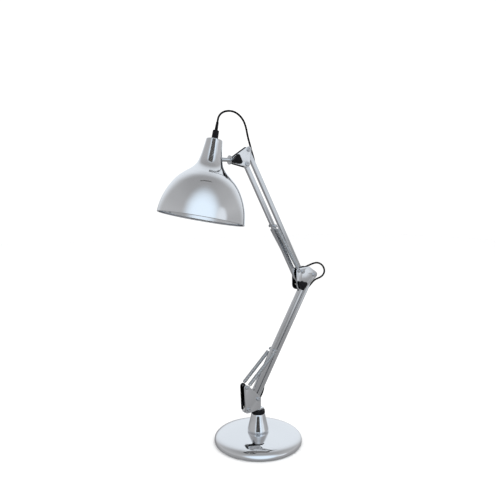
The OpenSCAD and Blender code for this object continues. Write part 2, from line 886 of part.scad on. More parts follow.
module shade_shell() {
    line = shade_line(0);
    thin = shade_line(shade_wall);
    inner = [for (i = [len(line) - 1 : -1 : 0]) thin[i] - [0, i > 4 ? shade_wall * 0.7 : 0]];
    top_in = shade_h - 2;
    color(chrome) difference() {
        in_shade() rotate_extrude($fn = 120) union() {
            difference() {
                polygon(concat([[0, 0]], line, [[0, shade_h]]));
                polygon(concat([[0, top_in]], [for (q = inner) [q[0], min(q[1], top_in)]], [[0, -cut]]));
            }
            translate([shade_d / 2 - rim_bead_r - 0.2, rim_bead_r]) circle(r = rim_bead_r, $fn = 24);
        }
        in_shade() translate([0, 0, shade_h - 5]) cylinder(r = nipple_r + 0.1, h = 10);
        along_stud() translate([0, 0, neck_at - 4]) cylinder(r = stud_thread_r + 0.1, h = 8);
    }
}

// Radius of the shade's outside at a height above its rim
function shade_r(h) = lookup(h, [for (q = shade_line(0)) [q[1], q[0]]]);

// Distance from the pivot to the neck's outer wall, straight along -X, in n rounds
function neck_from(n, d) = n == 0 ? d : neck_from(n - 1,
    (shade_pivot_out - shade_r(shade_pivot_up - d * sin(shade_tilt))) / cos(shade_tilt));
neck_at = neck_from(5, shade_pivot_out / 2);

// Frame at the shade's pivot with Z along the stud, towards the shade
module along_stud() at(K) rotate([0, -90, 0]) children();

module shade_stud() {
    color(chrome) at(K) difference() {
        union() {
            across(tongue_r, -tongue_t / 2, tongue_t / 2);
            rotate([0, -90, 0]) {
                translate([-tongue_r + 1, -tongue_t / 2, 0])
                    cube([2 * (tongue_r - 1), tongue_t, disc_at + 0.1]);
                translate([0, 0, disc_at]) cylinder(r = disc_r, h = disc_t);
                translate([0, 0, disc_at]) cylinder(r = stud_shank_r, h = neck_at - seat - disc_at);
                translate([0, 0, disc_at]) cylinder(r = stud_thread_r, h = neck_at + 8 - disc_at);
            }
        }
        bracket_hole(clamp_r + fit);
    }
}

module shade_stud_nut() {
    color(steel) along_stud() translate([0, 0, neck_at + shade_wall + 0.9]) difference() {
        cylinder(r = 5.6, h = 4, $fn = 6);
        translate([0, 0, -cut]) cylinder(r = stud_thread_r + seat, h = 4 + 2 * cut);
    }
}

// Heights above the rim: the lamp holder's mouth, shoulder and top
holder_mouth = 84;
holder_shoulder = 112;
holder_top = 122;

module shade_nipple() {
    color(brass) in_shade() difference() {
        translate([0, 0, holder_top - 6]) cylinder(r = nipple_r, h = shade_h + collar_h - 0.4 - holder_top + 6);
        translate([0, 0, holder_top - 7]) cylinder(r = lead_hole_r, h = shade_h);
    }
}

collar_r = 8;
collar_h = 1.4;

module neck_collar() {
    color(chrome) in_shade() translate([0, 0, shade_h + seat]) difference() {
        union() {
            cylinder(r = collar_r, h = collar_h - 0.4);
            cylinder(r1 = collar_r + 0.6, r2 = collar_r - 0.4, h = collar_h);
        }
        translate([0, 0, -cut]) cylinder(r = nipple_r + seat, h = collar_h + 2 * cut);
    }
}

// The black cap on the collar and the strain relief on the cap
cap_r = 6.6;
cap_h = 17;
cap_base = shade_h + collar_h + 0.1;
cap_top = cap_base + cap_h;
relief_r = 3.3;
relief_h = 17;
relief_top = cap_top + relief_h;

module gland_cap() {
    color(black) in_shade() translate([0, 0, cap_base]) difference() {
        union() {
            cylinder(r1 = cap_r, r2 = cap_r - 0.3, h = cap_h - 0.7);
            translate([0, 0, cap_h - 0.8]) cylinder(r1 = cap_r - 0.3, r2 = cap_r - 1.1, h = 0.8);
        }
        translate([0, 0, -cut]) cylinder(r = lead_hole_r, h = cap_h + 2 * cut);
    }
}

module strain_relief() {
    color(black) in_shade() translate([0, 0, cap_top + seat]) difference() {
        cylinder(r1 = relief_r, r2 = relief_r - 0.7, h = relief_h);
        translate([0, 0, -cut]) cylinder(r = cord_r + seat, h = relief_h + 2 * cut);
    }
}

// The bulb's glass: its wall, where its cap ends, and where the glass goes into the cap
bulb_wall = 0.9;
bulb_top = 111.5;
bulb_neck = bulb_top - 26;
bulb_cap_r = 13.2;

module lamp_holder() {
    color([0.93, 0.92, 0.88]) in_shade() difference() {
        union() {
            translate([0, 0, holder_mouth]) cylinder(r = holder_r, h = holder_shoulder - holder_mouth);
            translate([0, 0, holder_shoulder - 0.1])
                cylinder(r1 = holder_r, r2 = 9, h = holder_top - holder_shoulder + 0.1);
        }
        translate([0, 0, holder_mouth - 1]) cylinder(r = bulb_cap_r + 0.5, h = bulb_top - holder_mouth + 1.9);
        translate([0, 0, holder_shoulder - 2]) cylinder(r = nipple_r + fit, h = 20);
    }
}

// Outline of the bulb's glass from its lowest point to its neck, shrunk by w
function bulb_line(w) = [
    for (a = [0 : 12 : 180])
        let (z0 = bulb_top - bulb_len + bulb_r, s = (a - 132) / 48)
            a < 132 ? [(bulb_r - w) * sin(a), z0 - (bulb_r - w) * cos(a)]
                : [bulb_r * sin(132) * (1 - s) + (bulb_cap_r - 0.6) * s - w,
                    z0 - bulb_r * cos(132) + pow(s, 0.8) * (bulb_neck - z0 + bulb_r * cos(132))]
];

module bulb() {
    inside = bulb_line(bulb_wall);
    color([0.95, 0.95, 0.92]) in_shade() rotate_extrude()
        polygon(concat(bulb_line(0), [for (i = [len(inside) - 1 : -1 : 0]) inside[i]]));
}

module bulb_cap() {
    color(chrome) in_shade() difference() {
        translate([0, 0, bulb_neck + seat]) union() {
            cylinder(r = bulb_cap_r, h = 20);
            translate([0, 0, 19.9]) cylinder(r1 = bulb_cap_r, r2 = 5, h = 5.5);
        }
        translate([0, 0, bulb_neck - cut]) cylinder(r = bulb_cap_r - 0.8, h = 19);
    }
}

module shade_lead() {
    in_shade() tube_lead([holder_top - 5, relief_top + 1.5]);
}

// ---- free cords, as [x, z] from end to end ----

// From the shade's strain relief over the head to the upper arm's slot
head_route = [
    [-94.9, 679], [-93.8, 684.6], [-91, 690.4], [-86.4, 695.2], [-80.4, 698.7], [-73, 700.8],
    [-65, 701.4], [-57, 700.2], [-49.5, 697], [-42.4, 691.8], [-36.6, 685], [-32.4, 677],
    [-29.6, 668.5], [-27.6, 660], [-25.4, 651.2], [-22.6, 642.4], [-19.8, 633.6], [-17.2, 625],
    [-14.4, 617.2], [-12, 609.8], [-10.2, 602.6], [-8.8, 596], [-7.2, 589.8], [-5.4, 584.2]
];

module head_cord() cord(head_route);

// From the upper arm's slot round the elbow to the lower arm's slot
elbow_route = [
    [100.9, 382.5], [103.8, 378.6], [107.2, 376], [111, 374.4], [115.2, 374], [120, 374.6],
    [126, 376.2], [133, 378.4], [140, 380.6], [147, 382.2], [154, 382.8], [161, 381.6],
    [167.4, 378.6], [172.6, 374], [176, 368.6], [177, 363], [175.6, 357.2], [171.4, 352.4],
    [165.4, 349], [158.2, 346.8], [150.8, 344.4], [144, 340], [137.8, 334.4], [131.4, 328.8],
    [124.9, 323.3], [119.8, 318], [116.3, 313.2]
];

module elbow_cord() cord(elbow_route);

// From the lower arm's slot down between the foot bracket's plates and through the spindle
foot_cord_route = [
    [18.6, 139.8], [16.2, 134.2], [14.6, 127.2], [13.6, 119], [12, 111], [9, 103.6],
    [5, 97], [2, 90.4], [0.5, 83.8], [0, 77], [0, 68], [0, 58], [0, 46], [0, 34]
];

module foot_cord() cord(foot_cord_route);

// ---- parts ----

foot_pad();
foot_weight();
foot_cover();
outlet_grommet();
foot_lead();
foot_screws();
stem();
swivel_ring();
spindle();
spindle_clip();
foot_bracket();
foot_bolts();
foot_nuts();
foot_spring_studs();
lower_spring_near();
lower_spring_far();
foot_cord();
lower_bar();
lower_bar_bushes();
lower_lead();
lower_link();
lower_link_bushes();
lower_cross_pin();
elbow_plate_near();
elbow_plate_far();
elbow_bolts();
elbow_nuts();
elbow_spring_studs();
elbow_clamp_bolt();
elbow_knob();
elbow_knob_insert();
upper_spring_near();
upper_spring_far();
elbow_cord();
upper_bar();
upper_bar_bushes();
upper_lead();
upper_link();
upper_link_bushes();
upper_cross_pin();
head_plate_near();
head_plate_far();
head_bolts();
head_nuts();
head_washers();
head_clamp_bolt();
head_knob();
head_knob_insert();
head_cord();
shade_shell();
shade_stud();
shade_stud_nut();
shade_nipple();
neck_collar();
gland_cap();
strain_relief();
lamp_holder();
bulb();
bulb_cap();
shade_lead();
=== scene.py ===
"""A desk lamp on two sprung parallel-bar arms, dressed around its construction frame.

Everything is in metres, in the frame's own axes: +Z up, the arms in the plane Y = 0,
the elbow towards +X and the shade towards -X. Each piece is modelled in place and takes one
procedural finish; all but the springs and the lead ride on one body of the frame.
"""

import json
import math

import bpy
from mathutils import Matrix, Vector


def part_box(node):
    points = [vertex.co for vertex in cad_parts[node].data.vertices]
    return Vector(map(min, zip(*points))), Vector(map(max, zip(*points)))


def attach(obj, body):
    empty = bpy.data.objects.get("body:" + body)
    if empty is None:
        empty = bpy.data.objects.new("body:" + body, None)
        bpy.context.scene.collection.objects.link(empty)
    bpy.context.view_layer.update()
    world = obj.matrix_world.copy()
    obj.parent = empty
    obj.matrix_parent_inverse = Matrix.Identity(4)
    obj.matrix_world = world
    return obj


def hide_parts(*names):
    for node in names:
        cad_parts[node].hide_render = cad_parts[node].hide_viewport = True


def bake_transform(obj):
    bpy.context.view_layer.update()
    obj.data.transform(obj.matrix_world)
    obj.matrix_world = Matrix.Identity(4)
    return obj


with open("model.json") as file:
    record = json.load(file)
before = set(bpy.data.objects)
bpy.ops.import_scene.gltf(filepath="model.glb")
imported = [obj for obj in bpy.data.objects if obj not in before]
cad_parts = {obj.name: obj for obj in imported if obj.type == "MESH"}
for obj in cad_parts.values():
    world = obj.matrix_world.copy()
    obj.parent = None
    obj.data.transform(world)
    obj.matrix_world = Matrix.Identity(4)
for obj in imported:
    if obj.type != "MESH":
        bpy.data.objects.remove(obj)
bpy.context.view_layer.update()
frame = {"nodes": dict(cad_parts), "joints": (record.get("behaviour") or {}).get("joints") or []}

bl_info = {
    "name": "Sprung arm desk lamp",
    "version": (1, 0, 0),
    "blender": (4, 5, 0),
    "location": "3D View > Sidebar > Lamp",
    "description": "Builds the looks of a desk lamp with two sprung parallel-bar arms",
    "category": "Object",
}

MM = 0.001
TURN = 2 * math.pi
DOUBLED = 0.001 * MM


# ---------------------------------------------------------------- places from the frame


def middle(node):
    """The middle of a CAD node's box."""
    low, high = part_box(node)
    return (low + high) / 2


def joint_place(name):
    """Where a joint's axis crosses the arms' plane."""
    found = next(j for j in frame["joints"] if j["name"] == name)
    return Vector(found["pos_m"])


CLAMP_PIVOT = joint_place("upper_link_tilt")
SHADE_PIVOT = joint_place("shade_tilt")

FOOT_LOW, FOOT_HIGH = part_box("foot_cover")
STEM_LOW, STEM_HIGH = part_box("stem")
RING_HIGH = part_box("swivel_ring")[1]

SHADE_TILT = math.radians(11)
SHADE_AXIS = Vector((math.sin(SHADE_TILT), 0, math.cos(SHADE_TILT)))
SHADE_SIDE = Vector((math.cos(SHADE_TILT), 0, -math.sin(SHADE_TILT)))
SHADE_PIVOT_UP = 131 * MM
SHADE_PIVOT_OUT = 51.5 * MM
RIM_MIDDLE = SHADE_PIVOT - SHADE_PIVOT_UP * SHADE_AXIS - SHADE_PIVOT_OUT * SHADE_SIDE
SHADE_PLACE = Matrix.Translation(RIM_MIDDLE) @ Matrix.Rotation(SHADE_TILT, 4, "Y")

# The free stretches of the lead, as [x, z] in millimetres, the same as in the part's source
HEAD_ROUTE = [
    [-94.9, 679], [-93.8, 684.6], [-91, 690.4], [-86.4, 695.2], [-80.4, 698.7], [-73, 700.8],
    [-65, 701.4], [-57, 700.2], [-49.5, 697], [-42.4, 691.8], [-36.6, 685], [-32.4, 677],
    [-29.6, 668.5], [-27.6, 660], [-25.4, 651.2], [-22.6, 642.4], [-19.8, 633.6], [-17.2, 625],
    [-14.4, 617.2], [-12, 609.8], [-10.2, 602.6], [-8.8, 596], [-7.2, 589.8], [-5.4, 584.2],
]
ELBOW_ROUTE = [
    [100.9, 382.5], [103.8, 378.6], [107.2, 376], [111, 374.4], [115.2, 374], [120, 374.6],
    [126, 376.2], [133, 378.4], [140, 380.6], [147, 382.2], [154, 382.8], [161, 381.6],
    [167.4, 378.6], [172.6, 374], [176, 368.6], [177, 363], [175.6, 357.2], [171.4, 352.4],
    [165.4, 349], [158.2, 346.8], [150.8, 344.4], [144, 340], [137.8, 334.4], [131.4, 328.8],
    [124.9, 323.3], [119.8, 318], [116.3, 313.2],
]
FOOT_ROUTE = [
    [18.6, 139.8], [16.2, 134.2], [14.6, 127.2], [13.6, 119], [12, 111], [9, 103.6],
    [5, 97], [2, 90.4], [0.5, 83.8], [0, 77], [0, 68], [0, 58], [0, 46], [0, 34],
]


# ---------------------------------------------------------------- settings


def length_setting(name, description, default):
    """One length that a user may change."""
    return bpy.props.FloatProperty(name=name, description=description, default=default, unit="LENGTH")


class LampSizes(bpy.types.PropertyGroup):
    """The sizes that the dressed pieces are modelled to."""

    lead: length_setting("Lead", "Diameter of the lead", 4 * MM)
    spring_radius: length_setting("Spring radius", "From a spring's axis to its wire's middle", 3.45 * MM)
    wire: length_setting("Spring wire", "Radius of the springs' wire", 0.82 * MM)
    pitch: length_setting("Spring pitch", "Distance from curl to curl", 1.75 * MM)
    edge: length_setting("Sheet edge", "Rounding of the brackets' sheet edges", 0.3 * MM)
    tube_edge: length_setting("Tube corner", "Rounding of the square tubes' long edges", 1.1 * MM)
    knob: length_setting("Knob", "Radius of a clamp knob over its lobes", 11 * MM)
    shade_wall: length_setting("Shade wall", "Wall of the shade", 1 * MM)


def colour_setting(name, description, default):
    """One colour that a user may change."""
    return bpy.props.FloatVectorProperty(
        name=name, description=description, subtype="COLOR", size=3, min=0, max=1, default=default
    )


class LampColours(bpy.types.PropertyGroup):
    """The colours of the lamp's finishes."""

    chrome: colour_setting("Chrome", "Polished chrome plate", (0.80, 0.81, 0.83))
    steel: colour_setting("Steel", "Bolts, nuts and pins", (0.60, 0.61, 0.63))
    spring: colour_setting("Spring", "Spring wire", (0.68, 0.69, 0.70))
    plastic: colour_setting("Black plastic", "Knobs, swivel ring and gland", (0.006, 0.006, 0.007))
    lead: colour_setting("Lead", "Sheath of the lead", (0.004, 0.004, 0.0045))
    brass: colour_setting("Brass", "Inserts and threaded tube", (0.76, 0.56, 0.25))


class LampStage(bpy.types.PropertyGroup):
    """The camera and the light."""

    camera: bpy.props.FloatVectorProperty(
        name="Camera", description="Where the camera stands", subtype="TRANSLATION",
        default=(-0.5495, -0.9144, 0.5081),
    )
    heading: bpy.props.FloatVectorProperty(
        name="Heading", description="Which way the camera looks", subtype="DIRECTION",
        default=(0.4956, 0.8648, -0.0800),
    )
    lens: bpy.props.FloatProperty(
        name="Lens", description="Focal length on a 36 mm wide frame", default=36.65, unit="CAMERA"
    )
    surround: bpy.props.FloatProperty(
        name="Surround", description="Brightness of the grey studio around the lamp, in reflections",
        default=0.48, min=0, max=1,
    )


def sizes():
    """The sizes set in the scene."""
    return bpy.context.scene.lamp_sizes


def colours():
    """The colours set in the scene."""
    return bpy.context.scene.lamp_colours


# ---------------------------------------------------------------- finishes


class Finish:
    """A node tree under construction, around one Principled shader."""

    def __init__(self, name, colour, metallic=0.0, roughness=0.4):
        self.material = bpy.data.materials.new(name)
        self.material.use_nodes = True
        self.tree = self.material.node_tree
        self.shader = self.tree.nodes["Principled BSDF"]
        self.shader.inputs["Base Color"].default_value = (*colour, 1)
        self.shader.inputs["Metallic"].default_value = metallic
        self.shader.inputs["Roughness"].default_value = roughness
        self.material.diffuse_color = (*colour, 1)
        self.places = self.tree.nodes.new("ShaderNodeTexCoord").outputs["Object"]

    def link(self, out, socket):
        """Joins an output to one of the shader's sockets, by its name, or to any socket."""
        target = self.shader.inputs[socket] if isinstance(socket, str) else socket
        self.tree.links.new(out, target)

    def stretched(self, scale):
        """Object coordinates drawn out along an axis."""
        mapping = self.tree.nodes.new("ShaderNodeMapping")
        mapping.inputs["Scale"].default_value = scale
        self.link(self.places, mapping.inputs["Vector"])
        return mapping.outputs["Vector"]

    def noise(self, scale, detail=4.0, rough=0.5, places=None):
        """A noise pattern over the piece."""
        node = self.tree.nodes.new("ShaderNodeTexNoise")
        node.inputs["Scale"].default_value = scale
        node.inputs["Detail"].default_value = detail
        node.inputs["Roughness"].default_value = rough
        self.link(places or self.places, node.inputs["Vector"])
        return node.outputs["Fac"]

    def cells(self, scale):
        """A pattern of small cells over the piece."""
        node = self.tree.nodes.new("ShaderNodeTexVoronoi")
        node.inputs["Scale"].default_value = scale
        self.link(self.places, node.inputs["Vector"])
        return node.outputs["Distance"]

    def spread(self, pattern, low, high, start=0.3, end=0.7):
        """A pattern turned into values from low to high."""
        node = self.tree.nodes.new("ShaderNodeMapRange")
        for socket, value in zip(("From Min", "From Max", "To Min", "To Max"), (start, end, low, high)):
            node.inputs[socket].default_value = value
        self.link(pattern, node.inputs["Value"])
        return node.outputs["Result"]

    def tinted(self, pattern, first, second, start=0.3, end=0.7):
        """The base colour between two colours, by a pattern."""
        ramp = self.tree.nodes.new("ShaderNodeValToRGB")
        ramp.color_ramp.elements[0].position = start
        ramp.color_ramp.elements[1].position = end
        ramp.color_ramp.elements[0].color = (*first, 1)
        ramp.color_ramp.elements[1].color = (*second, 1)
        self.link(pattern, ramp.inputs["Fac"])
        self.link(ramp.outputs["Color"], "Base Color")

    def bumped(self, pattern, strength, depth):
        """Relief by a pattern, of a depth in metres, over any relief set before."""
        node = self.tree.nodes.new("ShaderNodeBump")
        node.inputs["Strength"].default_value = strength
        node.inputs["Distance"].default_value = depth
        self.link(pattern, node.inputs["Height"])
        before = self.shader.inputs["Normal"].links
        if before:
            self.link(before[0].from_socket, node.inputs["Normal"])
        self.link(node.outputs["Normal"], "Normal")

    def painted_inner_shade(self, attribute, colour):
        """Painted shade: a near-black base colour on the faces that an attribute marks."""
        mark = self.tree.nodes.new("ShaderNodeAttribute")
        mark.attribute_name = attribute
        mix = self.tree.nodes.new("ShaderNodeMix")
        mix.data_type = "RGBA"
        self.link(mark.outputs["Fac"], mix.inputs["Factor"])
        self.link(self.shader.inputs["Base Color"].links[0].from_socket, mix.inputs["A"])
        mix.inputs["B"].default_value = (*colour, 1)
        self.link(mix.outputs["Result"], "Base Color")


def shifted(colour, factor):
    """A colour made lighter or darker."""
    return tuple(min(1.0, c * factor) for c in colour)


def chrome_finish():
    """Polished chrome: faint clouds in its tone, a soft polish haze and hair-fine polish lines."""
    colour = colours().chrome
    made = Finish("polished_chrome", colour, metallic=1.0, roughness=0.07)
    made.tinted(made.noise(9, 3), shifted(colour, 0.965), colour)
    made.link(made.spread(made.noise(55, 6, 0.6), 0.045, 0.115), "Roughness")
    made.bumped(made.noise(2600, 2), 0.05, 0.00002)
    return made.material


def tube_finish():
    """Drawn tube under thin chrome: polish lines along the arms, less mirror-like than the shells."""
    colour = shifted(colours().chrome, 0.84)
    made = Finish("chromed_tube", colour, metallic=1.0, roughness=0.16)
    along = made.stretched((900, 900, 30))
    made.tinted(made.noise(14, 4), shifted(colour, 0.93), colour)
    made.link(made.spread(made.noise(1, 4, 0.6, along), 0.11, 0.24), "Roughness")
    made.bumped(made.noise(1, 3, 0.5, along), 0.08, 0.00003)
    return made.material


def plate_finish():
    """Stamped chrome sheet: a soft satin haze, a slight waviness from stamping, painted shade inside."""
    colour = shifted(colours().chrome, 0.95)
    made = Finish("stamped_chrome", colour, metallic=1.0, roughness=0.13)
    made.tinted(made.noise(30, 5), shifted(colour, 0.95), colour)
    made.link(made.spread(made.noise(160, 5, 0.6), 0.09, 0.19), "Roughness")
    made.bumped(made.noise(60, 2), 0.12, 0.0001)
    made.bumped(made.noise(2400, 2), 0.06, 0.00002)
    # Painted shade: the faces inside each bracket, between its plates, are near black
    made.painted_inner_shade("inner", (0.020, 0.020, 0.022))
    return made.material


def steel_finish():
    """Zinc-plated steel of the fasteners: mottled, a little dull, with turning marks."""
    colour = colours().steel
    made = Finish("plated_steel", colour, metallic=1.0, roughness=0.28)
    made.tinted(made.noise(420, 5), shifted(colour, 0.80), shifted(colour, 1.06))
    made.link(made.spread(made.noise(900, 4), 0.20, 0.38), "Roughness")
    made.bumped(made.noise(1800, 3), 0.10, 0.00003)
    return made.material


def spring_finish():
    """Bright spring wire: drawn lines, with a darker film that has kept in the coils."""
    colour = colours().spring
    made = Finish("spring_wire", colour, metallic=1.0, roughness=0.22)
    made.tinted(made.noise(700, 5, 0.6), shifted(colour, 0.72), shifted(colour, 1.08))
    made.link(made.spread(made.noise(1500, 3), 0.16, 0.32), "Roughness")
    return made.material


def plastic_finish():
    """Black moulded plastic: fine moulded grain under a soft gloss."""
    colour = colours().plastic
    made = Finish("black_moulding", colour, roughness=0.34)
    made.shader.inputs["Specular IOR Level"].default_value = 0.07
    made.tinted(made.noise(240, 4), colour, shifted(colour, 1.7))
    made.link(made.spread(made.noise(520, 5), 0.27, 0.42), "Roughness")
    made.bumped(made.cells(2600), 0.12, 0.00006)
    return made.material


def lead_finish():
    """Smooth flexible sheath: matt black with faint drawn streaks along it."""
    colour = colours().lead
    made = Finish("lead_sheath", colour, roughness=0.42)
    made.shader.inputs["Specular IOR Level"].default_value = 0.04
    made.tinted(made.noise(300, 4), colour, shifted(colour, 1.9))
    made.link(made.spread(made.noise(800, 3), 0.36, 0.52), "Roughness")
    made.bumped(made.noise(1400, 2), 0.10, 0.00004)
    return made.material


def iron_finish():
    """Raw cast iron: coarse sandy skin, dark with brown stains."""
    made = Finish("raw_casting", (0.10, 0.10, 0.105), metallic=0.6, roughness=0.7)
    made.tinted(made.noise(60, 6, 0.7), (0.09, 0.075, 0.065), (0.15, 0.15, 0.155))
    made.bumped(made.noise(900, 6, 0.7), 0.6, 0.0003)
    return made.material


def pad_finish():
    """Soft pad: black foam with small pores."""
    made = Finish("pad_foam", (0.02, 0.02, 0.02), roughness=0.92)
    made.tinted(made.noise(400, 5), (0.014, 0.014, 0.014), (0.045, 0.045, 0.045))
    made.bumped(made.cells(1700), 0.5, 0.0002)
    return made.material


def nylon_finish():
    """Natural nylon: milky, slightly waxy."""
    made = Finish("natural_nylon", (0.80, 0.79, 0.74), roughness=0.5)
    made.shader.inputs["Subsurface Weight"].default_value = 0.1
    made.tinted(made.noise(300, 4), (0.76, 0.75, 0.69), (0.83, 0.82, 0.78))
    made.bumped(made.noise(900, 3), 0.08, 0.00004)
    return made.material


def brass_finish():
    """Turned brass: warm, with fine turning lines and a few duller patches."""
    colour = colours().brass
    made = Finish("turned_brass", colour, metallic=1.0, roughness=0.25)
    made.tinted(made.noise(350, 4), shifted(colour, 0.82), shifted(colour, 1.08))
    made.link(made.spread(made.noise(500, 4), 0.18, 0.36), "Roughness")
    made.bumped(made.noise(2000, 2), 0.08, 0.00003)
    return made.material


def holder_finish():
    """Lamp holder's white moulding: slightly warm and matt."""
    made = Finish("holder_moulding", (0.80, 0.78, 0.72), roughness=0.45)
    made.tinted(made.noise(150, 4), (0.77, 0.75, 0.69), (0.82, 0.80, 0.75))
    made.bumped(made.noise(1200, 3), 0.10, 0.00004)
    return made.material


def glass_finish():
    """Frosted bulb glass: white and cloudy, letting some light through."""
    made = Finish("frosted_glass", (0.92, 0.92, 0.90), roughness=0.38)
    made.shader.inputs["Transmission Weight"].default_value = 0.35
    made.shader.inputs["IOR"].default_value = 1.45
    made.tinted(made.noise(40, 4), (0.90, 0.90, 0.87), (0.95, 0.95, 0.94))
    made.bumped(made.noise(1500, 2), 0.06, 0.00003)
    return made.material


def cap_finish():
    """Pressed aluminium cap of the bulb: pale, with faint drawing marks."""
    made = Finish("pressed_cap", (0.72, 0.72, 0.73), metallic=1.0, roughness=0.3)
    made.tinted(made.noise(220, 4), (0.64, 0.64, 0.65), (0.76, 0.76, 0.77))
    made.link(made.spread(made.noise(700, 4), 0.22, 0.4), "Roughness")
    return made.material


FINISHES = {
    "chrome": chrome_finish,
    "bright_steel": steel_finish,
    "spring_steel": spring_finish,
    "cast_iron": iron_finish,
    "soft_pad": pad_finish,
    "black_plastic": plastic_finish,
    "black_cord": lead_finish,
    "nylon": nylon_finish,
    "brass": brass_finish,
    "holder_plastic": holder_finish,
    "bulb_glass": glass_finish,
    "bulb_metal": cap_finish,
    "tube": tube_finish,
    "plate": plate_finish,
}
# Two finishes belong to the chrome slot, on tubes and on sheet
made_finishes = {}


def finish(name):
    """A finish's material, made once."""
    if name not in made_finishes:
        made_finishes[name] = FINISHES[name]()
    return made_finishes[name]


# ---------------------------------------------------------------- modelling


def start_fresh():
    """Object mode with nothing selected."""
    if bpy.context.object and bpy.context.object.mode != "OBJECT":
        bpy.ops.object.mode_set(mode="OBJECT")
    bpy.ops.object.select_all(action="DESELECT")


def only(piece):
    """Selects one piece and makes it active."""
    start_fresh()
    piece.select_set(True)
    bpy.context.view_layer.objects.active = piece
    return piece


def editing(piece):
    """Edit mode on one piece, with all of it selected."""
    only(piece)
    bpy.ops.object.mode_set(mode="EDIT")
    bpy.ops.mesh.select_mode(type="VERT")
    bpy.ops.mesh.select_all(action="SELECT")


def done_editing():
    """Back to object mode."""
    bpy.ops.object.mode_set(mode="OBJECT")


def settle(piece, place=None):
    """Moves a piece to its place and bakes that into its mesh."""
    if place is not None:
        piece.matrix_world = place @ piece.matrix_world
    only(piece)
    bpy.ops.object.transform_apply(location=True, rotation=True, scale=True)
    return piece


def clean(piece):
    """Merges doubled points and turns all faces outwards."""
    editing(piece)
    bpy.ops.mesh.remove_doubles(threshold=DOUBLED)
    bpy.ops.mesh.normals_make_consistent(inside=False)
    done_editing()
    return piece


def modified(piece, kind, **settings):
    """Adds one modifier and applies it."""
    only(piece)
    modifier = piece.modifiers.new(kind.title(), kind)
    for key, value in settings.items():
        setattr(modifier, key, value)
    bpy.ops.object.modifier_apply(modifier=modifier.name)
    return piece


def rounded(piece, width, segments=2, angle=32):
    """Rounds a piece's sharp edges."""
    return modified(
        piece, "BEVEL", width=width, segments=segments, limit_method="ANGLE",
        angle_limit=math.radians(angle), use_clamp_overlap=True, harden_normals=False,
    )


def smooth(piece, angle=34):
    """Smooth shading, apart from edges sharper than an angle."""
    only(piece)
    bpy.ops.object.shade_smooth_by_angle(angle=math.radians(angle))
    return piece


def fitted(piece, body, look, *nodes):
    """Gives a finished piece its finish and its body, and hides the CAD nodes it stands for."""
    piece.data.materials.clear()
    piece.data.materials.append(finish(look))
    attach(piece, body)
    if nodes:
        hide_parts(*nodes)
    return piece


def context_piece(name):
    """The object that an operator has just added, named."""
    piece = bpy.context.object
    piece.name = piece.data.name = name
    return piece


def line_of(name, points):
    """A new piece that is one line of points, drawn point after point."""
    start_fresh()
    bpy.ops.mesh.primitive_plane_add(size=MM, location=points[0])
    piece = context_piece(name)
    editing(piece)
    bpy.ops.mesh.merge(type="CENTER")
    for a, b in zip(points, points[1:]):
        step = Vector(b) - Vector(a)
        bpy.ops.mesh.extrude_vertices_move(TRANSFORM_OT_translate={"value": step})
    return piece


def turned(name, outline, place=None, steps=72):
    """A turned piece: an outline of [radius, height] in metres, spun about a vertical axis."""
    piece = line_of(name, [(r, 0, z) for r, z in outline])
    bpy.ops.mesh.select_all(action="SELECT")
    bpy.ops.mesh.spin(steps=steps, angle=TURN, center=(0, 0, 0), axis=(0, 0, 1))
    done_editing()
    settle(piece)
    clean(piece)
    return settle(piece, place) if place else piece


def turned_piece(node, outline, body, look, steps=72, crease=34, place=None):
    """A CAD node's turned stand-in: spun, shaded with its creases, and fitted in its place."""
    return fitted(smooth(turned(node + "_piece", outline, place, steps), crease), body, look, node)


def dressed(node, body, look, width=0.3 * MM, segments=2):
    """A CAD node's shape as a piece of its own: its triangles joined, its edges rounded."""
    piece = bpy.data.objects.new(node + "_piece", frame["nodes"][node].data.copy())
    bpy.context.scene.collection.objects.link(piece)
    editing(piece)
    bpy.ops.mesh.remove_doubles(threshold=DOUBLED)
    bpy.ops.mesh.dissolve_limited(angle_limit=math.radians(2))
    done_editing()
    if width:
        rounded(piece, width, segments)
    smooth(piece)
    return fitted(piece, body, look, node)


def curve_points(points, count):
    """A smooth line of points through given points, evenly filled between them."""
    smooth_line = []
    last = len(points) - 1
    for i in range(last):
        p0, p1, p2, p3 = (points[max(0, min(last, i + k))] for k in (-1, 0, 1, 2))
        for s in range(count):
            t = s / count
            smooth_line.append(
                0.5 * (2 * p1 + (p2 - p0) * t + (2 * p0 - 5 * p1 + 4 * p2 - p3) * t * t
                       + (3 * p1 - p0 - 3 * p2 + p3) * t ** 3)
            )
    return smooth_line + [points[last]]


def drawn_wire(name, points, radius, sides):
    """A round wire or lead through points, as a mesh."""
    curve = bpy.data.curves.new(name, "CURVE")
    curve.dimensions = "3D"
    curve.bevel_depth = radius
    curve.bevel_resolution = sides
    curve.use_fill_caps = True
    spline = curve.splines.new("POLY")
    spline.points.add(len(points) - 1)
    for point, place in zip(spline.points, points):
        point.co = (*place, 1)
    piece = bpy.data.objects.new(name, curve)
    bpy.context.scene.collection.objects.link(piece)
    only(piece)
    bpy.ops.object.convert(target="MESH")
    bpy.ops.object.shade_smooth()
    return bpy.context.object


def joined(name, pieces):
    """Several meshes as one piece."""
    only(pieces[0])
    for piece in pieces[1:]:
        piece.select_set(True)
    bpy.ops.object.join()
    return context_piece(name)


# ---------------------------------------------------------------- the pieces


class LAMP_OT_camera(bpy.types.Operator):
    """Stands the camera where the lamp is seen from"""

    bl_idname = "lamp.camera"
    bl_label = "Camera"

    def execute(self, context):
        stage = context.scene.lamp_stage
        data = bpy.data.cameras.new("view")
        data.lens = stage.lens
        data.sensor_width = 36
        camera = bpy.data.objects.new("view", data)
        camera.location = stage.camera
        camera.rotation_euler = Vector(stage.heading).to_track_quat("-Z", "Y").to_euler()
        context.scene.collection.objects.link(camera)
        context.scene.camera = camera
        return {"FINISHED"}


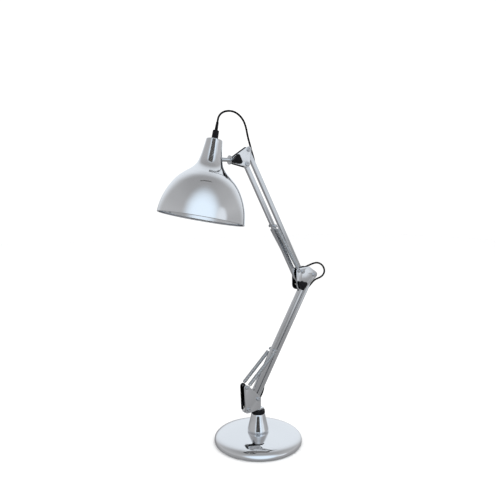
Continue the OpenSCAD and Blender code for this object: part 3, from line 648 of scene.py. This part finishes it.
def lead_stretch(name, route, first, last, nodes=()):
    """One stretch of the free lead, drawn along its route's points."""
    points = [Vector((x * MM, 0, z * MM)) for x, z in route[first : last + 1]]
    line = curve_points(points, 4)
    lead = drawn_wire(name, line, sizes().lead / 2, sides=4)
    lead.data.materials.append(finish("black_cord"))
    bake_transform(lead)
    if nodes:
        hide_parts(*nodes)


class LAMP_OT_lead(bpy.types.Operator):
    """Lays the lead's free stretches: the arch over the head, the elbow loop and the foot's tail"""

    bl_idname = "lamp.lead"
    bl_label = "Lead"

    def execute(self, context):
        arch_split, loop_split = 13, 14
        arch, loop, tail = HEAD_ROUTE, ELBOW_ROUTE, FOOT_ROUTE
        lead_stretch(
            "head_lead_arch", arch, 0, arch_split,
            ("head_cord",),
        )
        lead_stretch(
            "head_lead_drop", arch, arch_split, len(arch) - 1,
        )
        lead_stretch(
            "elbow_lead_top", loop, 0, loop_split,
            ("elbow_cord",),
        )
        lead_stretch(
            "elbow_lead_under", loop, loop_split, len(loop) - 1,
        )
        lead_stretch(
            "foot_lead_tail", tail, 0, len(tail) - 1,
            ("foot_cord",),
        )
        return {"FINISHED"}


def foot_outline():
    """The foot cover's outline from its rim's underside, over the top and back under it."""
    radius, low, top = FOOT_HIGH.x, FOOT_LOW.z, FOOT_HIGH.z
    widest, tuck, flat, wall, bore = 6.5 * MM, 4 * MM, 20 * MM, 1.4 * MM, 11 * MM
    under_bend, side_bend, top_bend = 0.8, 0.67, 0.91

    def skin(w):
        points = []
        for a in (math.radians(d) for d in range(90, 0, -6)):
            points.append(
                (radius - tuck + (tuck - w) * math.cos(a) ** under_bend,
                 widest - (widest - low - w) * math.sin(a) ** under_bend)
            )
        for a in (math.radians(d) for d in range(0, 91, 2)):
            points.append(
                (flat + (radius - flat - w) * math.cos(a) ** side_bend,
                 widest + (top - widest - w) * math.sin(a) ** top_bend)
            )
        return points

    outer = skin(0) + [(bore, top)]
    inner = [(bore, top - wall)] + list(reversed(skin(wall)))
    return outer + inner + [outer[0]]


class LAMP_OT_foot(bpy.types.Operator):
    """Turns the foot's cover and dresses what lies under it"""

    bl_idname = "lamp.foot"
    bl_label = "Foot"

    def execute(self, context):
        turned_piece("foot_cover", foot_outline(), "base", "chrome", steps=160, crease=60)
        for node, look, width in (
            ("foot_weight", "cast_iron", 0.8 * MM),
            ("foot_pad", "soft_pad", 0.4 * MM),
            ("foot_screws", "bright_steel", 0.3 * MM),
            ("outlet_grommet", "black_cord", 0.3 * MM),
            ("foot_lead", "black_cord", 0),
        ):
            dressed(node, "base", look, width)
        return {"FINISHED"}


def stem_outline():
    """The stem's outline: a rounded foot that flares out of a straight cone."""
    low, high = STEM_LOW.z, STEM_HIGH.z
    foot, top_radius, tuck, rise = 23.2 * MM, 14.8 * MM, 3.2 * MM, 4.4 * MM
    bore, socket, socket_low, lip = 9 * MM, 12.05 * MM, high - 7 * MM, 0.5 * MM
    first, last, step = -60, 20, 8
    lift = math.sin(math.radians(-first))
    rounding = [
        Vector((foot - tuck + tuck * math.cos(a), 0, low + rise * (lift + math.sin(a))))
        for a in (math.radians(d) for d in range(first, last + 1, step))
    ]
    side = [
        rounding[-1], Vector((foot * 0.88, 0, low + 14.5 * MM)),
        Vector(((foot + top_radius) * 0.467, 0, low + 24.5 * MM)), Vector((top_radius, 0, high - lip)),
    ]
    skin = [(p.x, p.z) for p in rounding[:-1] + curve_points(side, 6)]
    mouth = [(top_radius - lip, high), (socket, high), (socket, socket_low), (bore, socket_low)]
    return [(bore, low), *skin, *mouth, (bore, low)]


class LAMP_OT_stem(bpy.types.Operator):
    """Turns the stem and the black swivel ring, and dresses the spindle"""

    bl_idname = "lamp.stem"
    bl_label = "Stem"

    def execute(self, context):
        turned_piece("stem", stem_outline(), "base", "chrome", steps=128, crease=40)
        radius, low, high, bore = RING_HIGH.x, STEM_HIGH.z, RING_HIGH.z, 6.05 * MM
        waist = radius - 0.5 * MM
        ring = [
            (bore, low), (radius - 0.6 * MM, low + 0.02 * MM), (radius, low + 0.6 * MM),
            (radius, low + 2.4 * MM), (waist, low + 2.9 * MM), (waist, low + 3.3 * MM),
            (radius, low + 3.8 * MM), (radius, high - 1.6 * MM), (radius - 0.4 * MM, high - 0.6 * MM),
            (radius - 1.4 * MM, high), (bore, high), (bore, low),
        ]
        turned_piece("swivel_ring", ring, "base", "black_plastic", steps=96, crease=40)
        dressed("spindle", "turret", "bright_steel")
        dressed("spindle_clip", "turret", "bright_steel", 0.15 * MM)
        return {"FINISHED"}


def mark_painted_shade(plate):
    """Marks the faces of a bracket that look towards its middle, for the painted shade there."""
    centre = sum((Vector(corner) for corner in plate.bound_box), Vector()) / 8
    centre.y = 0
    upright = 0.8
    marks = plate.data.attributes.new("inner", "FLOAT", "FACE")
    for face, mark in zip(plate.data.polygons, marks.data):
        out = face.center - centre
        way = face.normal
        mark.value = float(way.dot(out) < 0 and abs(way.y) + abs(way.x) > upright)


class LAMP_OT_brackets(bpy.types.Operator):
    """Dresses the foot, elbow and head brackets"""

    bl_idname = "lamp.brackets"
    bl_label = "Brackets"

    def execute(self, context):
        for node, body in (
            ("foot_bracket", "turret"),
            ("elbow_plate_near", "elbow"),
            ("elbow_plate_far", "elbow"),
            ("head_plate_near", "head"),
            ("head_plate_far", "head"),
        ):
            plate = dressed(node, body, "plate", sizes().edge, 3)
            # The bracket's inward faces are marked for painted shade
            mark_painted_shade(plate)
        return {"FINISHED"}


class LAMP_OT_tubes(bpy.types.Operator):
    """Dresses the four square tubes, their bushes and the lead inside them"""

    bl_idname = "lamp.tubes"
    bl_label = "Tubes"

    def execute(self, context):
        for arm, body in (("lower", "lower_arm"), ("upper", "upper_arm")):
            dressed(f"{arm}_bar", body, "tube", sizes().tube_edge / 2, 3)
            dressed(f"{arm}_link", body + "_link", "tube", sizes().tube_edge / 2, 3)
            dressed(f"{arm}_bar_bushes", body, "nylon", 0.2 * MM)
            dressed(f"{arm}_link_bushes", body + "_link", "nylon", 0.2 * MM)
            dressed(f"{arm}_lead", body, "black_cord", 0)
        return {"FINISHED"}


class LAMP_OT_fasteners(bpy.types.Operator):
    """Dresses bolts, nuts, studs and pins"""

    bl_idname = "lamp.fasteners"
    bl_label = "Fasteners"

    def execute(self, context):
        for node, body in (
            ("foot_bolts", "turret"), ("foot_nuts", "turret"), ("foot_spring_studs", "turret"),
            ("lower_cross_pin", "lower_arm_link"), ("elbow_bolts", "elbow"),
            ("elbow_nuts", "elbow"), ("elbow_spring_studs", "elbow"),
            ("elbow_clamp_bolt", "elbow"), ("upper_cross_pin", "upper_arm_link"),
            ("head_bolts", "head"), ("head_nuts", "head"), ("head_clamp_bolt", "head"),
        ):
            dressed(node, body, "bright_steel", 0.35 * MM, 3)
        dressed("head_washers", "head", "black_plastic", 0.2 * MM)
        return {"FINISHED"}


def spring_line(length):
    """A spring's wire on +Z: an eye, a straight hook, the curls, a hook and an eye."""
    coil, wire, hook = sizes().spring_radius, sizes().wire, 7.5 * MM
    stud, play, per_curl = 2 * MM, 0.15 * MM, 16
    eye = stud + wire + play
    curls = round((length - 2 * hook) / sizes().pitch)
    start = [
        Vector((eye * math.cos(a), 0, eye * math.sin(a)))
        for a in (math.radians(d) for d in range(-240, 1, 15))
    ]
    start += [
        Vector((eye, 0, 2.2 * MM)), Vector((eye - 0.05 * MM, 0.15 * MM, 4.4 * MM)),
        Vector((coil + 0.1 * MM, 0.9 * MM, 6.2 * MM)),
    ]
    steps = curls * per_curl
    body = []
    for i in range(steps + 1):
        a = math.radians(30 + 360 * (curls - 1 / 6) * i / steps)
        body.append(
            Vector((coil * math.cos(a), coil * math.sin(a), hook + (length - 2 * hook) * i / steps))
        )
    end = [Vector((p.x, -p.y, length - p.z)) for p in reversed(start)]
    return start + body + end


class LAMP_OT_springs(bpy.types.Operator):
    """Winds the four tension springs between the brackets' studs and the cross pins"""

    bl_idname = "lamp.springs"
    bl_label = "Springs"

    def execute(self, context):
        for arm, studs, fixed in (("lower", "foot", "turret"), ("upper", "elbow", "elbow")):
            first, last = middle(f"{studs}_spring_studs"), middle(f"{arm}_cross_pin")
            first.y = last.y = 0
            way = last - first
            turn = Matrix.Rotation(math.atan2(way.x, way.z), 4, "Y")
            for side in ("near", "far"):
                node = f"{arm}_spring_{side}"
                shift = Vector((0, middle(node).y, 0))
                place = Matrix.Translation(first + shift) @ turn
                line = [place @ p for p in spring_line(way.length)]
                spring = drawn_wire(node + "_piece", line, sizes().wire, sides=2)
                spring.data.materials.append(finish("spring_steel"))
                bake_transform(spring)
                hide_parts(node)
        return {"FINISHED"}


def lobed(angle, core, reach):
    """Distance from a knob's middle to its outline: three round lobes blended into a core."""
    lobe, end, power = reach * 0.582, reach * 0.418, 8
    off = math.remainder(angle, TURN / 3)
    inside = end ** 2 - (lobe * math.sin(off)) ** 2
    out = lobe * math.cos(off) + math.sqrt(inside) if inside > 0 and abs(off) < 1 else 0
    return (core ** power + out ** power) ** (1 / power)


def knob_piece(name, node, turn, body):
    """A three-lobed clamp knob: a round hub, scalloped lobes and a stepped face."""
    low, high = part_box(node)
    centre = (CLAMP_PIVOT if body == "elbow_clamp" else SHADE_PIVOT).copy()
    centre.y = high.y
    depth, reach = high.y - low.y, sizes().knob
    core, hub, step = reach * 0.66, 2.6 * MM, 0.8 * MM
    face, bore, blind = depth - step, 4.05 * MM, 7.6 * MM
    lobe_depth = face - 1 * MM - hub
    around = [i * TURN / 144 for i in range(144)]
    lobes = line_of(
        name + "_lobes",
        [(lobed(a, core, reach) * math.cos(a), lobed(a, core, reach) * math.sin(a), hub) for a in around],
    )
    bpy.ops.mesh.select_all(action="SELECT")
    bpy.ops.mesh.edge_face_add()
    bpy.ops.mesh.extrude_region_move(TRANSFORM_OT_translate={"value": (0, 0, lobe_depth)})
    done_editing()
    settle(lobes)
    clean(lobes)
    rounded(lobes, 1.3 * MM, 5, 25)
    middle_part = turned(
        name + "_core",
        [
            (bore, 0.1 * MM), (core - 0.4 * MM, 0.1 * MM), (core, 0.5 * MM), (core, face - 0.9 * MM),
            (core - 0.3 * MM, face - 0.3 * MM), (core - 0.9 * MM, face), (core - 1.5 * MM, face),
            (core - 1.7 * MM, face + 0.5 * MM), (core - 2.4 * MM, face + step),
            (0.01 * MM, face + step), (0.01 * MM, blind), (bore, blind), (bore, 0.1 * MM),
        ],
    )
    knob = joined(name, [middle_part, lobes])
    facing = Matrix.Rotation(math.pi / 2, 4, "X")
    settle(knob, Matrix.Translation(centre) @ Matrix.Rotation(turn, 4, "Y") @ facing)
    clean(knob)
    smooth(knob, 40)
    return fitted(knob, body, "black_plastic", node)


class LAMP_OT_knobs(bpy.types.Operator):
    """Models the two three-lobed clamp knobs with their brass inserts"""

    bl_idname = "lamp.knobs"
    bl_label = "Knobs"

    def execute(self, context):
        for end, turn in (("elbow", math.radians(-20)), ("head", math.radians(35))):
            knob_piece(f"{end}_knob_piece", f"{end}_knob", turn, f"{end}_clamp")
            dressed(f"{end}_knob_insert", f"{end}_clamp", "brass", 0.15 * MM)
        return {"FINISHED"}


# The shade's outline from rim to neck top, as shares of the rim's radius and of the height
BELL = [
    (1, 0), (0.996, 0.03), (0.984, 0.085), (0.962, 0.15), (0.930, 0.213), (0.885, 0.28),
    (0.825, 0.35), (0.752, 0.419), (0.66, 0.484), (0.56, 0.537), (0.465, 0.58), (0.385, 0.62),
    (0.325, 0.66), (0.284, 0.705), (0.257, 0.755), (0.236, 0.81), (0.216, 0.88), (0.198, 0.95),
    (0.188, 1),
]
SHADE_RADIUS = 88 * MM
SHADE_HEIGHT = 160 * MM


def bell_outline():
    """The shade's wall: outside up to the neck's rounded top, and back down inside."""
    wall = sizes().shade_wall
    coarse = [Vector((r * SHADE_RADIUS, 0, h * SHADE_HEIGHT)) for r, h in BELL]
    outside = [p for p in curve_points(coarse, 5) if p.z < SHADE_HEIGHT - 1.5 * MM]
    neck, bore, ceiling, curl = BELL[-1][0] * SHADE_RADIUS, 5.1 * MM, SHADE_HEIGHT - 2 * MM, 1.2 * MM
    crown = [
        Vector((neck - curl * (1 - math.cos(a)), 0, SHADE_HEIGHT - curl * (1 - math.sin(a))))
        for a in (math.radians(d) for d in range(0, 91, 18))
    ]
    top = [*crown, Vector((bore, 0, SHADE_HEIGHT)), Vector((bore, 0, ceiling))]
    inside = []
    for before, here, after in zip(outside, outside[1:], outside[2:]):
        tangent = (after - before).normalized()
        inside.append(here + wall * Vector((-tangent.z, 0, tangent.x)))
    inside = [p for p in inside if 3 * MM < p.z < ceiling]
    roll, roll_at = 1.3 * MM, SHADE_RADIUS - 1.4 * MM
    bead = [
        Vector((roll_at + roll * math.cos(a), 0, roll + roll * math.sin(a)))
        for a in (math.radians(d) for d in range(-200, 21, 20))
    ]
    line = [*bead, *outside[6:], *top, *reversed(inside), bead[0]]
    return [(p.x, p.z) for p in line]


class LAMP_OT_shade(bpy.types.Operator):
    """Spins the bell shade, and dresses its stud and nut"""

    bl_idname = "lamp.shade"
    bl_label = "Shade"

    def execute(self, context):
        turned_piece("shade_shell", bell_outline(), "shade", "chrome", 192, 60, SHADE_PLACE)
        dressed("shade_stud", "shade", "tube", 0.5 * MM, 3)
        dressed("shade_stud_nut", "shade", "bright_steel", 0.3 * MM)
        return {"FINISHED"}


class LAMP_OT_gland(bpy.types.Operator):
    """Turns the chrome collar, the black cap and the strain relief on the shade's neck"""

    bl_idname = "lamp.gland"
    bl_label = "Gland"

    def execute(self, context):
        base, bore = SHADE_HEIGHT, 5.03 * MM
        collar = [
            (bore, base + 0.02 * MM), (8.4 * MM, base + 0.02 * MM), (8.5 * MM, base + 0.4 * MM),
            (8.1 * MM, base + 0.9 * MM), (7.4 * MM, base + 1.4 * MM), (bore, base + 1.4 * MM),
            (bore, base + 0.02 * MM),
        ]
        turned_piece("neck_collar", collar, "shade", "chrome", place=SHADE_PLACE)
        foot, top, bore = base + 1.5 * MM, base + 18.5 * MM, 2.3 * MM
        cap = [
            (bore, foot), (6.2 * MM, foot), (6.6 * MM, foot + 0.5 * MM), (6.6 * MM, foot + 2.6 * MM),
            (6.35 * MM, foot + 2.9 * MM), (6.35 * MM, foot + 3.3 * MM), (6.55 * MM, foot + 3.6 * MM),
            (6.3 * MM, top - 1.2 * MM), (6.0 * MM, top - 0.4 * MM), (5.5 * MM, top),
            (bore, top), (bore, foot),
        ]
        turned_piece("gland_cap", cap, "shade", "black_plastic", place=SHADE_PLACE)
        count, tall, bore, groove = 6, 17 * MM, 2.03 * MM, 0.3 * MM
        relief = [(bore, top)]
        for i in range(count):
            low = top + tall * i / count
            rib = (3.3 - 0.7 * i / count) * MM
            relief += [(rib, low), (rib, low + 1.7 * MM)]
            relief += [(rib - groove, low + 2.0 * MM), (rib - groove, low + 2.6 * MM)]
        relief += [(2.55 * MM, top + tall), (bore, top + tall), (bore, top)]
        turned_piece("strain_relief", relief, "shade", "black_cord", 48, 30, SHADE_PLACE)
        return {"FINISHED"}


def bulb_outline():
    """The bulb's glass as a thin wall, from its lowest point to its neck and back inside."""
    big, top, length, wall = 30 * MM, 111.5 * MM, 106 * MM, 0.9 * MM
    neck, neck_radius = top - 26 * MM, 12.6 * MM
    centre = top - length + big
    round_to, step = 132, 6
    shoulder, shoulder_at = big * 0.743, centre + big * 0.669

    def skin(w):
        points = []
        for d in range(0, 181, step):
            if d < round_to:
                a = math.radians(d)
                points.append(((big - w) * math.sin(a), centre - (big - w) * math.cos(a)))
            else:
                s = (d - round_to) / (180 - round_to)
                r = shoulder - s * (shoulder - neck_radius) - w
                points.append((r, shoulder_at + s ** 0.8 * (neck - shoulder_at)))
        return points

    return [*skin(0), *reversed(skin(wall))]


class LAMP_OT_bulb(bpy.types.Operator):
    """Turns the frosted bulb, and dresses its cap, the lamp holder and the threaded tube"""

    bl_idname = "lamp.bulb"
    bl_label = "Bulb"

    def execute(self, context):
        turned_piece("bulb", bulb_outline(), "shade", "bulb_glass", crease=60, place=SHADE_PLACE)
        for node, look, width in (
            ("bulb_cap", "bulb_metal", 0.3 * MM),
            ("lamp_holder", "holder_plastic", 0.8 * MM),
            ("shade_nipple", "brass", 0.2 * MM),
            ("shade_lead", "black_cord", 0),
        ):
            dressed(node, "shade", look, width)
        return {"FINISHED"}


# ---------------------------------------------------------------- the stage


def plain_stage_material(name, colour):
    """A matt paper for the floor and the studio's cards."""
    made = bpy.data.materials.new(name)
    made.use_nodes = True
    shader = made.node_tree.nodes["Principled BSDF"]
    shader.inputs["Base Color"].default_value = (*colour, 1)
    shader.inputs["Roughness"].default_value = 0.9
    return made


class Studio:
    """The studio as polished metal sees it: a grey room with soft places in it."""

    def __init__(self, tree, level):
        self.tree = tree
        self.way = tree.nodes.new("ShaderNodeTexCoord").outputs["Generated"]
        parts = tree.nodes.new("ShaderNodeSeparateXYZ")
        tree.links.new(self.way, parts.inputs[0])
        ramp = tree.nodes.new("ShaderNodeValToRGB")
        ramp.color_ramp.interpolation = "EASE"
        stops = ((0.0, 0.62), (0.42, 0.86), (0.5, 1.0), (0.62, 1.12), (0.8, 0.98), (1.0, 0.80))
        for _ in stops[2:]:
            ramp.color_ramp.elements.new(0.5)
        for element, (place, factor) in zip(ramp.color_ramp.elements, stops):
            element.position = place
            element.color = (level * factor, level * factor * 1.005, level * factor * 1.02, 1)
        height = tree.nodes.new("ShaderNodeMapRange")
        height.inputs["From Min"].default_value = -1
        tree.links.new(parts.outputs["Z"], height.inputs["Value"])
        tree.links.new(height.outputs["Result"], ramp.inputs["Fac"])
        self.colour = ramp.outputs["Color"]

    def patch(self, way, inner, outer, colour):
        """A soft round patch of a colour, between two angles from its middle, in degrees."""
        tree = self.tree
        dot = tree.nodes.new("ShaderNodeVectorMath")
        dot.operation = "DOT_PRODUCT"
        dot.inputs[1].default_value = Vector(way).normalized()
        tree.links.new(self.way, dot.inputs[0])
        share = tree.nodes.new("ShaderNodeMapRange")
        share.interpolation_type = "SMOOTHERSTEP"
        share.inputs["From Min"].default_value = math.cos(math.radians(outer))
        share.inputs["From Max"].default_value = math.cos(math.radians(inner))
        tree.links.new(dot.outputs["Value"], share.inputs["Value"])
        mix = tree.nodes.new("ShaderNodeMix")
        mix.data_type = "RGBA"
        mix.inputs["B"].default_value = (*colour, 1)
        tree.links.new(share.outputs["Result"], mix.inputs["Factor"])
        tree.links.new(self.colour, mix.inputs["A"])
        self.colour = mix.outputs["Result"]


# Soft places of the studio: direction, inner and outer angle in degrees, colour. In turn:
# high beyond the lamp, low beyond it and darker, on the camera's side, and to the right of that
PATCHES = (
    ((0.50, 0.80, 0.52), 12, 62, (0.90, 0.95, 1.0)),
    ((0.10, 0.90, -0.50), 10, 45, (0.30, 0.30, 0.31)),
    ((-0.33, -0.85, 0.30), 0, 56, (0.98, 1.12, 1.25)),
    ((0.49, -0.865, 0.12), 2, 20, (0.88, 0.93, 0.98)),
)


class LAMP_OT_stage(bpy.types.Operator):
    """Lays the white floor and sets the studio that the chrome reflects, and the light"""

    bl_idname = "lamp.stage"
    bl_label = "Stage"

    def execute(self, context):
        start_fresh()
        bpy.ops.mesh.primitive_plane_add(size=14, location=(0, 0, -0.0002))
        floor = context_piece("floor")
        floor.data.materials.append(plain_stage_material("floor_paper", (0.93, 0.93, 0.93)))
        floor.visible_glossy = False
        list(self.cards())
        self.world(context)
        self.lamps(context)
        return {"FINISHED"}

    def card(self, name, place, way, width, height):
        """A dark studio card, facing away from a place, that only polished metal sees."""
        start_fresh()
        bpy.ops.mesh.primitive_plane_add(
            size=1, location=place, rotation=way.to_track_quat("Z", "Y").to_euler()
        )
        card = context_piece(name)
        card.scale = (width, height, 1)
        settle(card)
        card.data.materials.append(plain_stage_material(name + "_paper", (0.10, 0.095, 0.09)))
        card.visible_camera = card.visible_diffuse = card.visible_shadow = False
        card.visible_transmission = False
        return card

    def cards(self):
        """The cards that give the shade's neck and the stem their dark middle."""
        to_view = Vector((-0.41, -0.912, 0))
        neck = RIM_MIDDLE + 0.88 * SHADE_HEIGHT * SHADE_AXIS + 0.09 * to_view + Vector((0, 0, 0.06))
        from_stem = Vector((-0.515, -0.857, 0))
        stem = 0.078 * from_stem + Vector((0, 0, 0.048))
        return (
            self.card("neck_card", neck, to_view, 0.075, 0.05),
            self.card("stem_card", stem, from_stem, 0.055, 0.034),
        )

    def world(self, context):
        """White light for the camera and matt parts, and the grey studio for polished ones."""
        world = bpy.data.worlds.new("studio")
        world.use_nodes = True
        context.scene.world = world
        tree = world.node_tree
        studio = Studio(tree, context.scene.lamp_stage.surround)
        for way, inner, outer, colour in PATCHES:
            studio.patch(way, inner, outer, colour)
        seen = tree.nodes.new("ShaderNodeLightPath").outputs["Is Glossy Ray"]
        mix = tree.nodes.new("ShaderNodeMix")
        mix.data_type = "RGBA"
        mix.inputs["A"].default_value = (1.1, 1.1, 1.1, 1)
        tree.links.new(seen, mix.inputs["Factor"])
        tree.links.new(studio.colour, mix.inputs["B"])
        tree.links.new(mix.outputs["Result"], tree.nodes["Background"].inputs["Color"])

    def lamps(self, context):
        """One wide soft light above and a weaker one from the left."""
        for name, place, size, power in (
            ("top_light", (0.2, -0.4, 2.4), 1.6, 12),
            ("left_light", (-1.8, -1.2, 1.6), 1.2, 5),
        ):
            data = bpy.data.lights.new(name, "AREA")
            data.size = size
            data.energy = power
            lamp = bpy.data.objects.new(name, data)
            lamp.location = place
            lamp.visible_glossy = False
            way = Vector((0, 0, 0.3)) - Vector(place)
            lamp.rotation_euler = way.to_track_quat("-Z", "Y").to_euler()
            context.scene.collection.objects.link(lamp)


class LAMP_PT_panel(bpy.types.Panel):
    """The lamp's steps and settings in the 3D view's sidebar"""

    bl_idname = "LAMP_PT_panel"
    bl_label = "Lamp"
    bl_space_type = "VIEW_3D"
    bl_region_type = "UI"
    bl_category = "Lamp"

    def draw(self, context):
        for step in STEPS:
            self.layout.operator(step.bl_idname)
        for group in ("lamp_sizes", "lamp_colours", "lamp_stage"):
            box = self.layout.box()
            settings = getattr(context.scene, group)
            for name in settings.bl_rna.properties.keys():
                if name not in ("rna_type", "name"):
                    box.prop(settings, name)


STEPS = (
    LAMP_OT_camera, LAMP_OT_lead, LAMP_OT_foot, LAMP_OT_stem, LAMP_OT_brackets, LAMP_OT_tubes,
    LAMP_OT_fasteners, LAMP_OT_springs, LAMP_OT_knobs, LAMP_OT_shade, LAMP_OT_gland,
    LAMP_OT_bulb, LAMP_OT_stage,
)
CLASSES = (LampSizes, LampColours, LampStage, *STEPS, LAMP_PT_panel)


def register():
    """Registers the classes and hangs the settings on the scene."""
    for item in CLASSES:
        bpy.utils.register_class(item)
    bpy.types.Scene.lamp_sizes = bpy.props.PointerProperty(type=LampSizes)
    bpy.types.Scene.lamp_colours = bpy.props.PointerProperty(type=LampColours)
    bpy.types.Scene.lamp_stage = bpy.props.PointerProperty(type=LampStage)


def unregister():
    """Takes the settings and the classes away again."""
    del bpy.types.Scene.lamp_stage
    del bpy.types.Scene.lamp_colours
    del bpy.types.Scene.lamp_sizes
    for item in reversed(CLASSES):
        bpy.utils.unregister_class(item)


def run(step):
    """Calls one step's operator by its name."""
    group, name = step.bl_idname.split(".")
    getattr(getattr(bpy.ops, group), name)()


def main():
    register()
    bpy.context.scene.view_settings.view_transform = "Standard"
    for step in STEPS:
        run(step)


if __name__ == "__main__":
    main()
